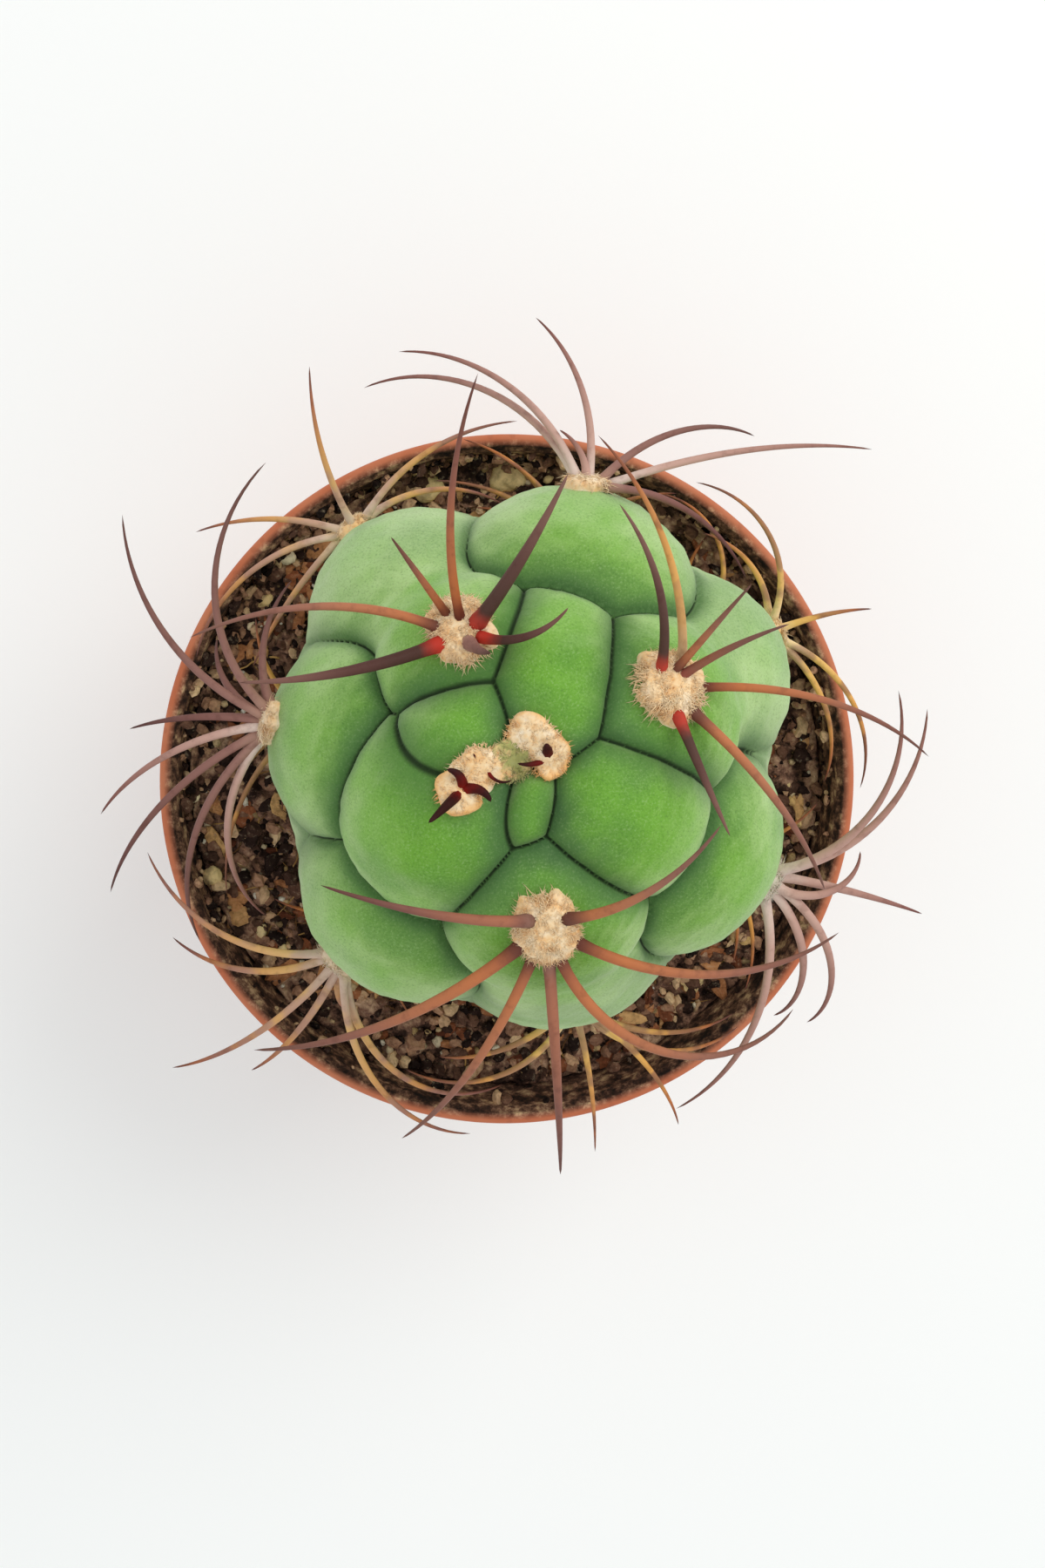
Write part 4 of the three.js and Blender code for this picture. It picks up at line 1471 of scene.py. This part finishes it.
AREOLES = (
    Areole("areole_a_upper", 116, 49, (3.2, 3.8, 1.6), 0.68, Tone.TAN, 0.0, (
        Spine(28, 155, 205, 25, 20, Tone.TAN, 0.8), Spine(22, 200, 180, 30, 5, Tone.RED, 1.1),
        Spine(15, 125, 125, 25, 60, Tone.TAN, 0.7), Spine(28, 105, 70, 40, 10, Tone.TAN, 0.75),
        Spine(21, 55, 65, 45, 20, Tone.RED, 1.2), Spine(12, -15, 55, 40, 30, Tone.RED, 0.8),
        Spine(8, -45, 10, 75, 75, Tone.MAUVE, 0.95),
    ), hairs=1700, swell=0.3),
    Areole("areole_c_upper", 40, 53, (3.9, 3.5, 1.6), 0.58, Tone.TAN, 0.0, (
        Spine(22, 85, 130, 40, 25, Tone.RED, 0.95), Spine(26, 80, 135, 20, 0, Tone.BRONZE, 0.85, 1.8),
        Spine(15, 55, 55, 35, 40, Tone.TAN, 0.8), Spine(14, 40, 20, 35, 20, Tone.DUSK, 0.85),
        Spine(31, 5, -40, 5, -35, Tone.TAN, 0.85), Spine(27, -40, -65, 15, -35, Tone.TAN, 1.0),
        Spine(14, -70, -65, 30, 0, Tone.RED, 1.0),
    ), hairs=1700, swell=0.3),
    Areole("areole_e_upper", -88, 61, (3.4, 3.8, 1.6), 0.74, Tone.TAN, 0.0, (
        Spine(25, 170, 160, 50, 0, Tone.PLUM, 0.85), Spine(35, -140, -170, 0, -35, Tone.TAN, 0.95),
        Spine(35, -110, -130, -10, -50, Tone.TAN, 0.8), Spine(36, -85, -85, -10, -50, Tone.PLUM, 0.9),
        Spine(40, -70, 35, 0, -50, Tone.TAN, 0.85), Spine(34, -30, 25, 0, -35, Tone.TAN, 0.85),
        Spine(21, 15, 55, 45, 0, Tone.TAN, 0.8),
    ), hairs=1700, swell=0.3),
    Areole("areole_b_upper", 79, 10, (2.6, 2.2, 1.4), 0.48, Tone.ROSE, 0.2, (
        Spine(21, 80, 135, 10, -35), Spine(28, 110, 180, 10, -40), Spine(31, 115, 200, 0, -40),
        Spine(23, 50, -20, 5, -45, Tone.MAUVE), Spine(36, 20, -5, -5, -35),
        Spine(20, 0, -65, 20, -15, Tone.MAUVE), Spine(7, 85, 150, 15, 0),
    )),
    Areole("areole_g_upper", 168, 13, (2.4, 2.6, 1.4), 0.52, Tone.MAUVE, 0.2, (
        Spine(31, 135, 45, 25, -5), Spine(29, 155, 95, 20, -20), Spine(17, 170, 200, 5, -35),
        Spine(25, 185, 235, 5, -40, Tone.ROSE), Spine(32, 205, 250, 0, -45), Spine(33, 220, 285, -5, -45),
        Spine(30, 230, 310, -10, -50, Tone.ROSE), Spine(14, 160, 85, -10, -60), Spine(15, 110, 50, 15, -10),
    )),
    Areole("areole_d_upper", -25, 4, (2.4, 2.4, 1.4), 0.58, Tone.ROSE, 1.0, (
        Spine(29, 15, 105, 30, 5), Spine(28, 10, 85, 20, -15), Spine(22, -10, -25, 0, -35),
        Spine(16, -35, 70, 20, -60), Spine(27, -30, -120, 10, -60), Spine(25, -45, -125, 5, -65),
        Spine(34, -75, -140, 0, -35),
    )),
    Areole("areole_f_upper", -135, -1, (2.4, 2.2, 1.4), 0.5, Tone.PEACH, 0.6, (
        Spine(26, 185, 115, 20, -20), Spine(21, 205, 145, 10, -35), Spine(27, 230, 200, 10, -40),
        Spine(22, 245, 220, 0, -50), Spine(10, -110, -60, -10, -70), Spine(32, -90, 10, 5, -45),
        Spine(31, -95, -15, 15, -40),
    )),
    Areole("areole_a_lower", 126, -7, (2.2, 2.2, 1.4), 0.44, Tone.PEACH, 0.0, (
        Spine(20, 120, 90, 40, 5), Spine(18, 160, 200, 15, -20), Spine(25, 185, 255, 10, -30),
        Spine(20, 225, 245, 5, -35), Spine(22, 60, 5, 20, -15), Spine(18, 40, -30, 5, -35),
    )),
    Areole("areole_c_lower", 28, -8, (2.0, 2.0, 1.3), 0.42, Tone.GOLD, 0.0, (
        Spine(22, 70, 170, 25, -5), Spine(14, 90, 165, 5, -30), Spine(12, 25, 0, 20, -20),
        Spine(24, -20, -100, 10, -30), Spine(22, -40, -100, 5, -45),
    )),
    Areole("areole_e_lower", -79, -12, (2.2, 2.2, 1.3), 0.44, Tone.GOLD, 0.0, (
        Spine(23, -120, -205, 25, -20), Spine(18, -140, -175, 10, -45), Spine(17, -75, -90, 35, -10),
        Spine(21, -30, 20, 10, -40), Spine(22, -45, 30, 20, -35), Spine(21, -30, -75, 25, -40),
    )),
    Areole("areole_g_lower", 170, -32, (2.0, 1.8, 1.2), 0.4, Tone.GOLD, 0.3, (
        Spine(24, 215, 275, 20, -5),
    ), True, 350),
    Areole("areole_c_foot", 34, -34, (2.0, 1.8, 1.2), 0.4, Tone.GOLD, 0.2, (
        Spine(22, 45, 170, 22, 5), Spine(12, 105, 45, -5, -10), Spine(14, 5, -25, -5, -10),
        Spine(11, -15, 75, -5, -10), Spine(11, 145, 85, -5, -10),
    ), hairs=350),
    Areole("areole_b_lower", 78, -32, (2.0, 1.8, 1.2), 0.4, Tone.GOLD, 0.3, (
        Spine(18, 110, 165, 35, 0), Spine(17, 135, 180, 20, 0),
    ), True, 350),
    Areole("areole_d_lower", -27, -32, (2.0, 1.8, 1.2), 0.4, Tone.GOLD, 0.3, (
        Spine(19, -45, -110, 22, -5),
    ), True, 350),
    Areole("areole_f_lower", -132, -36, (2.0, 1.8, 1.2), 0.4, Tone.GOLD, 0.3, (), True, 350),
)


# ------------------------------------------------------------------ crown


@dataclass
class Crown:
    """Two young cushions of two lumps each in the sunken crown, and a thin greenish bridge of wool.

    Attributes:
        pads: Azimuth, elevation, half width, half height and rise of each lump, the bridge last.
        warm: How orange the edge of each lump is.
        spines: The lump that a spine stands in, and the spine.
        girth: Thickness of each spine as a share of the model's.
        root: Radius of a spine at its root.
        spread_out: How far out in its lump a spine is rooted, as a share of the lump.
        lift: How far above the skin a spine is rooted.
        steps: Steps along a spine.
        sides: Sides of a spine.
        hairs: Number of hairs on a lump.
        nap: Length of the hairs against the usual.
        ragged: How far a lump's edge departs from an oval.
    """

    pads: tuple[tuple[float, float, float, float, float], ...] = (
        (176, 71.5, 2.3, 2.3, 1.2), (151, 75, 2.1, 2.3, 1.2), (78, 80.5, 2.1, 2.3, 1.3),
        (105, 75.5, 2.1, 2.1, 1.2), (164, 73, 2.2, 2.0, 1.1), (94, 77.5, 2.2, 2.2, 1.2),
        (130, 79, 2.5, 2.2, 1.15),
    )
    warm: tuple[float, ...] = (0.9, 0.3, 0.9, 0.6, 0.1, 0.2, 0.0)
    spines: tuple[tuple[int, Spine], ...] = (
        (0, Spine(7, 212, 216, 62, 50)), (0, Spine(3.2, 80, 175, 40, 15)), (0, Spine(3.4, 25, -70, 35, 10)),
        (1, Spine(2.2, 150, 110, 50, 30)), (1, Spine(3.2, -70, 30, 30, 10)),
        (2, Spine(2.8, 110, 100, 60, 60)), (2, Spine(3.2, 205, 165, 30, 10)),
    )
    girth: tuple[float, ...] = (1.4, 1.4, 1.45, 0.5, 0.5, 1.6, 0.8)
    root: float = 0.42
    spread_out: float = 0.3
    lift: float = 0.4
    steps: int = 12
    sides: int = 8
    hairs: int = 380
    nap: float = 0.5
    ragged: float = 0.07

    def wool_shape(self, body: CactusBody, seats: Sequence[Seat]) -> Shape:
        """The lumps of wool, the last of them greenish.

        Args:
            body: The body they lie on.
            seats: Where each sits.

        Returns:
            The lumps as one.
        """
        lumps = []
        for i, (seat, pad, warm) in enumerate(zip(seats, self.pads, self.warm)):
            values = {"warm": warm, "grey": 0.0, "green": float(i == len(self.pads) - 1)}
            lumps.append(cushion(body, seat, pad[2:], self.hairs, 70 + i, values, self.nap, self.ragged))
        return Shape.joined(lumps)

    def spine_shape(self, seats: Sequence[Seat]) -> Shape:
        """The young spines, which are red from end to end and taper by 1 - 0.75 t^2.

        Args:
            seats: Where each lump sits.

        Returns:
            The spines, with the traits that their finish reads.
        """
        paths = np.stack([
            spine.path(seats[i], self.spread_out * self.pads[i][2], self.lift, self.steps)
            for i, spine in self.spines
        ])
        share = np.arange(self.steps) / self.steps
        radii = np.array(self.girth)[:, None] * self.root * (1 - 0.75 * share ** 2)
        shape = rods(paths, radii, self.sides)
        lengths = np.array([spine.length for _, spine in self.spines])
        shape.traits["out"] = 2.2 + shape.traits["along"] * spread(lengths, shape) * 0.4
        shape.traits["along"] = 0.3 * shape.traits["along"]
        for trait in ("tint", "tan", "gold", "rose"):
            shape.traits[trait] = np.zeros(len(shape.points))
        shape.traits["red"] = np.ones(len(shape.points))
        return shape

    def build(self, body: CactusBody) -> None:
        """Make the wool and the young spines and hide the model's."""
        seats = [body.seat(pad[0], pad[1]) for pad in self.pads]
        wool = self.wool_shape(body, seats).put("wool_crown", AREAL_WOOL)
        dress(wool, "areole_wool", "crown_wool")
        dress(self.spine_shape(seats).put("spines_crown", SPINE_HORN), "spine", "crown_wool")


# ------------------------------------------------------------------ soil and stones


@dataclass(frozen=True)
class Litter:
    """One kind of loose bits that lie on the soil.

    Attributes:
        name: The piece's name.
        finish: What its material is made from.
        slot: Its material slot.
        seed: Starts the random draw of their places, and with 1 added that of their forms.
        flat: The three half sizes as shares of the half length.
        cells: Cells along an edge of the blown-up cube.
        rough: Roughness as a share of the radius.
        level: Whether they lie flat instead of any way up.
        smooth: Whether they are shaded as rounded.
        count: How many are strewn.
        margin: How far their middles stay from the pot and from the body.
        least: Half length of the smallest.
        more: How much longer the half length of the longest is.
        rarity: The higher, the fewer of them are long.
    """

    name: str
    finish: Finish
    slot: str
    seed: int
    flat: tuple[float, float, float]
    cells: int
    rough: float = 0.16
    level: bool = False
    smooth: bool = False
    count: int = 0
    margin: float = 0.0
    least: float = 0.0
    more: float = 0.0
    rarity: float = 2.0

    def sizes(self, draw: np.random.Generator, count: int) -> np.ndarray:
        """Random half lengths."""
        return self.least + self.more * draw.uniform(0, 1, count) ** self.rarity

    def strew(self, places: np.ndarray, sizes: np.ndarray) -> None:
        """Make the bits as one piece.

        Args:
            places: Points that they rest on.
            sizes: Half length of each.
        """
        count = len(places)
        draw = np.random.default_rng(self.seed + 1)
        halves = sizes[:, None] * np.asarray(self.flat) * draw.uniform(0.75, 1.2, (count, 3))
        turns = random_turns(draw, count)
        if self.level:
            angle = draw.uniform(0, 2 * math.pi, count)
            tilt = draw.normal(0, 0.22, count)
            turns = level_turns(angle, tilt)
        lift = halves.min(axis=1) * draw.uniform(0.1, 0.9, count)
        centres = places + np.array([0, 0, 1]) * lift[:, None]
        shape = chunks(centres, halves, turns, self.seed + 1, self.cells, self.rough)
        dress(shape.put(self.name, self.finish, self.smooth), self.slot)


STREWN = (
    Litter(
        "soil_crumbs", PEAT_CRUMB, "potting_soil", 32, (1, 0.8, 0.65), 2,
        count=2000, margin=0.6, least=0.4, more=0.95,
    ),
    Litter(
        "soil_grit", GRIT, "pumice", 34, (1, 0.8, 0.7), 2, smooth=True,
        count=620, margin=0.6, least=0.2, more=0.6,
    ),
    Litter(
        "soil_bark", BARK, "potting_soil", 36, (1, 0.5, 0.25), 3, 0.2, True,
        count=300, margin=1.4, least=0.8, more=1.3, rarity=1.0,
    ),
)
SPLASH = Litter(
    "soil_splash", PEAT_CRUMB, "potting_soil", 41, (1, 0.8, 0.65), 2, count=620, least=0.3, more=0.7,
)
PEBBLE = Litter("soil_pebbles", PUMICE, "pumice", 59, (1, 0.8, 0.7), 6, 0.1, True, True)


@dataclass
class Soil:
    """Peat in the pot, with crumbs, grit, bark and root fibres lying on it.

    Attributes:
        level: Height of the top.
        roughness: Height of the model's broad waves.
        bank: Height the peat is banked up the pot at the back, its foot's radius and its width.
        bank_turn: Azimuth of the bank's middle.
        gap: Air left to the pot.
        pit_gap: Air left to the body.
        azimuth_steps: Steps round the bed.
        seed: Starts the random draw of the fine clods.
        clod: Height of the fine clods.
        splash: Lowest place over the level of a crumb on the pot's inside, and how much higher they go.
        splash_side: Azimuth of most of those crumbs, and how far they stray from it.
        roots: Number of root fibres, and how far they stay from the pot and the body.
    """

    level: float = 58.2
    roughness: float = 0.42
    bank: tuple[float, float, float] = (2.3, 37.4, 2.2)
    bank_turn: float = 110.0
    gap: float = 0.38
    pit_gap: float = 0.25
    azimuth_steps: int = 480
    seed: int = 5
    clod: float = 0.34
    splash: tuple[float, float] = (0.5, 6.0)
    splash_side: tuple[float, float] = (112.0, 62.0)
    roots: tuple[int, float] = (130, 4.0)

    def surface(self, x: np.ndarray, y: np.ndarray) -> np.ndarray:
        """Height of the model's rough top over a place, with the bank left by filling from one side.

        It is level + roughness (broad + fine) + height clamp((r - foot) / width) side, with r the
        distance from the axis and side clamp(0.55 + 0.6 cos(azimuth - bank_turn)).

        Args:
            x: Places along X.
            y: Places along Y.

        Returns:
            Heights above the pot's base.
        """
        broad = np.sin(0.31 * x + 0.8) * np.sin(0.27 * y - 0.4)
        fine = np.sin(0.55 * x - 0.3 * y + 1.3) * np.sin(0.47 * y + 0.35 * x)
        height, foot, width = self.bank
        side = np.clip(0.55 + 0.6 * np.cos(np.arctan2(y, x) - math.radians(self.bank_turn)), 0, 1)
        bank = height * np.clip((np.hypot(x, y) - foot) / width, 0, 1) * side
        return self.level + self.roughness * (broad + fine) + bank

    def outer(self, pot: Pot, start: np.ndarray, ways: np.ndarray, height: float) -> np.ndarray:
        """Places on the pot's inside that rays in plan reach at a height.

        Args:
            pot: The pot.
            start: Where the rays start, one row of x and y each.
            ways: Their unit directions in plan.
            height: The height.

        Returns:
            The places in plan, gap short of the pot.
        """
        radius = pot.inside(height) - self.gap
        along = np.sum(start * ways, axis=-1)
        reach = -along + np.sqrt(along ** 2 + radius ** 2 - np.sum(start * start, axis=-1))
        return start + ways * reach[:, None]

    def bed_shape(self, pot: Pot, body: CactusBody) -> Shape:
        """The peat as one closed solid with the body's foot left open in it.

        For each azimuth about the body's axis a section runs from the pit's bottom up the pit,
        over the top to the pot, and down the pot's inside to the floor.

        Args:
            pot: The pot that it fills.
            body: The body that stands in it.

        Returns:
            The solid.
        """
        azimuths = 360 * np.arange(self.azimuth_steps) / self.azimuth_steps
        waist = body.waist(azimuths, self)
        rises = waist[:, None] + (-89.0 - waist[:, None]) * np.linspace(1, 0, 12)
        ways = bearing(azimuths[:, None], rises)
        reach = body.reach(ways.reshape(-1, 3)).reshape(rises.shape)
        pit = np.asarray(body.centre) + ways * (reach + self.pit_gap)[..., None]
        flat = bearing(azimuths, 0)[:, :2]
        inner = pit[:, -1, :2]
        edge = self.outer(pot, inner, flat, self.level)
        share = np.linspace(0, 1, 56)[1:, None]
        plan = inner[:, None] + (edge - inner)[:, None] * share
        heights = self.surface(plan[..., 0], plan[..., 1])
        solid = np.concatenate([plan, heights[..., None]], axis=-1)
        fine = self.clod * Waves(self.seed, 5.0, 4, 0.7).at(solid)
        solid[..., 2] += fine * np.minimum(share[:, 0] * 8, 1)
        walls = []
        over, under, foot = pot.shoulder + 0.7, pot.shoulder + 0.2, pot.floor + self.gap
        for height, fitted in ((over, over), (under, pot.shoulder), (40.0, 40.0), (20.0, 20.0), (foot, foot)):
            ring = self.outer(pot, inner, flat, fitted)
            walls.append(np.concatenate([ring, np.full((len(ring), 1), height)], axis=-1)[:, None])
        grid = np.concatenate([pit, solid, *walls], axis=1).transpose(1, 0, 2)
        poles = np.array([grid[0].mean(axis=0), [0, 0, foot]])
        count = len(grid) * self.azimuth_steps
        faces = tube_faces(len(grid), self.azimuth_steps, count, count + 1)[:, [1, 0, 3, 2]]
        return Shape(np.concatenate([grid.reshape(-1, 3), poles]), faces)

    def scattered(self, pot: Pot, body: CactusBody, count: int, margin: float, seed: int) -> np.ndarray:
        """Random places on the open soil, between the body and the pot.

        Args:
            pot: The pot.
            body: The body.
            count: Number of places.
            margin: How far they stay from both.
            seed: Starts the random draw.

        Returns:
            Points on the soil's surface, one row each.
        """
        draw = np.random.default_rng(seed)
        azimuths = np.arange(0, 360, 2.0)
        rises = body.waist(azimuths, self)
        ways = bearing(azimuths, rises)
        skin = np.asarray(body.centre) + ways * body.reach(ways)[:, None]
        centre = np.asarray(body.centre)[:2]
        waist = np.linalg.norm(skin[:, :2] - centre, axis=-1)
        limit = float(pot.inside(self.level)) - self.gap - margin
        plan = draw.uniform(-limit, limit, (count * 5, 2))
        from_body = plan - centre
        turn = np.degrees(np.arctan2(from_body[:, 1], from_body[:, 0])) % 360
        clear = np.linalg.norm(from_body, axis=-1) > np.interp(turn, azimuths, waist, period=360) + margin
        plan = plan[clear & (np.linalg.norm(plan, axis=-1) < limit)][:count]
        return np.concatenate([plan, self.surface(plan[:, 0], plan[:, 1])[:, None]], axis=-1)

    def clinging(self, pot: Pot, sizes: np.ndarray, seed: int) -> np.ndarray:
        """Places for crumbs stuck to the pot's inside above the peat, mostly at the back, fewer higher up.

        Args:
            pot: The pot.
            sizes: Half length of each crumb.
            seed: Starts the random draw.

        Returns:
            Their places, one row each.
        """
        draw = np.random.default_rng(seed)
        lowest, more = self.splash
        heights = self.level + lowest + more * draw.uniform(0, 1, len(sizes)) ** 1.4
        azimuths = draw.normal(*self.splash_side, len(sizes))
        places = bearing(azimuths, 0) * (pot.inside(heights) - 0.7 * sizes)[:, None]
        places[:, 2] = heights
        return places

    def fibre_shape(self, places: np.ndarray, seed: int) -> Shape:
        """Thin curly roots lying about, each a walk whose heading drifts, a little above the soil.

        Args:
            places: Where each starts, on the soil.
            seed: Starts the random draw.

        Returns:
            The roots, with the trait "tint".
        """
        draw = np.random.default_rng(seed)
        count, steps = len(places), 9
        heading = draw.uniform(0, 360, (count, 1)) + np.cumsum(draw.normal(0, 16, (count, steps)), axis=1)
        length = draw.uniform(3, 9, (count, 1, 1))
        climb = draw.normal(0, 14, (count, steps))
        walk = np.cumsum(bearing(heading, climb) * length / steps, axis=1)
        paths = places[:, None] + np.concatenate([np.zeros((count, 1, 3)), walk], axis=1)
        paths[..., 2] = self.surface(paths[..., 0], paths[..., 1]) + 0.25 + 0.35 * np.abs(walk[:, :1, 2])
        radii = draw.uniform(0.07, 0.16, (count, 1)) * np.linspace(1, 0.5, steps)
        shape = rods(paths, radii, 5)
        del shape.traits["along"]
        shape.traits["tint"] = spread(draw.uniform(0, 1, count), shape)
        return shape

    def build(self, pot: Pot, body: CactusBody) -> None:
        """Make the peat and what lies on it, and hide the model's soil."""
        bed = self.bed_shape(pot, body).put("soil_bed", PEAT_SOIL)
        dress(bed, "potting_soil", "soil")
        draw = np.random.default_rng(31)
        for kind in STREWN:
            places = self.scattered(pot, body, kind.count, kind.margin, kind.seed)
            kind.strew(places, kind.sizes(draw, len(places)))
        sizes = SPLASH.sizes(draw, SPLASH.count)
        SPLASH.strew(self.clinging(pot, sizes, SPLASH.seed), sizes)
        count, margin = self.roots
        roots = self.scattered(pot, body, count, margin, 38)
        dress(self.fibre_shape(roots, 39).put("soil_fibres", FIBRE), "potting_soil")


@dataclass
class Stones:
    """Cream volcanic stones and smaller pebbles lying on the soil.

    Attributes:
        pumice: Model's node, azimuth, distance from the axis and half sizes of each large one.
        turn: Azimuth of a large one's length against its own azimuth.
        cells: Cells along an edge of a large one's blown-up cube.
        rough: A large one's roughness as a share of the radius.
        pebbles: Place in plan and length of each smaller one.
    """

    pumice: tuple[tuple[str, float, float, tuple[float, float, float]], ...] = (
        ("pumice_back_left", 105, 37.55, (2.09, 1.725, 1.125)),
        ("pumice_back", 90, 37.35, (2.09, 1.84, 1.2)),
        ("pumice_front", -48, 35.55, (1.65, 1.38, 0.9)),
    )
    turn: float = 70.0
    cells: int = 16
    rough: float = 0.09
    pebbles: tuple[tuple[float, float, float], ...] = (
        (5.1, 37.3, 1.5), (-27.1, 27.7, 1.8), (-29.8, 22.4, 1.8), (-31.5, 19.2, 1.5), (-36.9, -11.9, 2.6),
        (-38.9, -1.9, 1.3), (-34.2, -12.4, 1.3), (-31.1, -19.1, 2.4), (-28.4, -21.4, 1.3), (30.6, -21, 2.2),
        (36.2, -3, 1.8), (35.6, -0.8, 1.3), (37.3, -5.8, 1.5),
    )

    def build(self, soil: Soil) -> None:
        """Make the stones; the largest hide the model's."""
        for seed, (name, azimuth, distance, halves) in enumerate(self.pumice, start=50):
            place = distance * bearing(azimuth, 0)
            place[2] = soil.surface(place[0], place[1]) + 0.3 * halves[2]
            turn = level_turns(np.radians([azimuth + self.turn]), np.zeros(1))
            stone = chunks(place[None], np.array([halves]), turn, seed, self.cells, self.rough)
            stone.traits["tint"] = np.full(len(stone.points), 0.5)
            dress(stone.put(f"stone_{name}", PUMICE), "pumice", name)
        x, y, lengths = np.array(self.pebbles).T
        PEBBLE.strew(np.stack([x, y, soil.surface(x, y)], axis=-1), lengths / 2)


# ------------------------------------------------------------------ studio


@dataclass
class Studio:
    """A white table top, soft light and a camera almost straight above the pot.

    Attributes:
        target: The point the camera looks at.
        distance: From the target to the camera.
        tilt: How far the line of sight leans from the vertical.
        lean: Direction in plan towards which the camera stands off.
        lens: Focal length on a 36 mm sensor, whose long side is the picture's height.
        window: Place of the soft light.
        window_size: Its width and height.
        window_power: Its power in watts.
        window_colour: Its colour.
        sky: Colour of the light from all sides.
        sky_strength: How bright that is.
    """

    target: tuple[float, float, float] = (1.52, 0.35, 66.0)
    distance: float = 243.6
    tilt: float = 8.0
    lean: tuple[float, float] = (-0.38, 0.92)
    lens: float = 45.8
    window: tuple[float, float, float] = (460.0, 440.0, 680.0)
    window_size: float = 560.0
    window_power: float = 2.9
    window_colour: str = "fffdf8"
    sky: str = "f4f6f8"
    sky_strength: float = 0.88

    def camera(self) -> None:
        """Add the camera, with the picture's top towards +Y."""
        away = math.sin(math.radians(self.tilt)) / math.hypot(*self.lean)
        back = Vector((away * self.lean[0], away * self.lean[1], math.cos(math.radians(self.tilt))))
        right = (-back).cross(Vector((0, 1, 0))).normalized()
        up = back.cross(right)
        eye = Vector(self.target) + self.distance * back
        data = bpy.data.cameras.new("camera")
        data.lens = self.lens
        data.clip_start = 0.01
        made = bpy.data.objects.new("camera", data)
        axes = Matrix((right, up, back)).transposed().to_4x4()
        made.matrix_world = Matrix.Translation(eye * MM) @ axes
        bpy.context.scene.collection.objects.link(made)
        bpy.context.scene.camera = made

    def lamp(self) -> None:
        """Add the soft light, square and facing the pot."""
        data = bpy.data.lights.new("window", "AREA")
        data.size = self.window_size * MM
        data.energy = self.window_power
        data.color = colour(self.window_colour)[:3]
        made = bpy.data.objects.new("window", data)
        place = Vector(self.window)
        aim = Vector((0, 0, 60.0)) - place
        facing = aim.to_track_quat("-Z", "Y").to_matrix().to_4x4()
        made.matrix_world = Matrix.Translation(place * MM) @ facing
        bpy.context.scene.collection.objects.link(made)

    def floor(self) -> None:
        """Add the table top at the height of the pot's base."""
        half = 1500.0
        points = np.array([[-half, -half, 0], [half, -half, 0], [half, half, 0], [-half, half, 0]])
        Shape(points, np.array([[0, 1, 2, 3]])).put("table_top", PALE_FLOOR)

    def build(self) -> None:
        """Make the floor, the light and the camera."""
        self.floor()
        self.camera()
        world = bpy.data.worlds.new("studio")
        world.use_nodes = True
        backdrop = world.node_tree.nodes["Background"]
        backdrop.inputs["Color"].default_value = colour(self.sky)
        backdrop.inputs["Strength"].default_value = self.sky_strength
        bpy.context.scene.world = world
        self.lamp()
        bpy.context.scene.view_settings.view_transform = "Standard"


# ------------------------------------------------------------------ assembly


def main() -> None:
    """Build every sub-assembly in order."""
    logging.basicConfig(level=logging.INFO, format="%(message)s")
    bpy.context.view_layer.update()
    pot, soil, body = Pot(), Soil(), CactusBody()
    Studio().build()
    pot.build()
    soil.build(pot, body)
    Stones().build(soil)
    body.build()
    for seed, areole in enumerate(AREOLES, start=100):
        areole.build(body, seed)
    Crown().build(body)


if __name__ == "__main__":
    main()
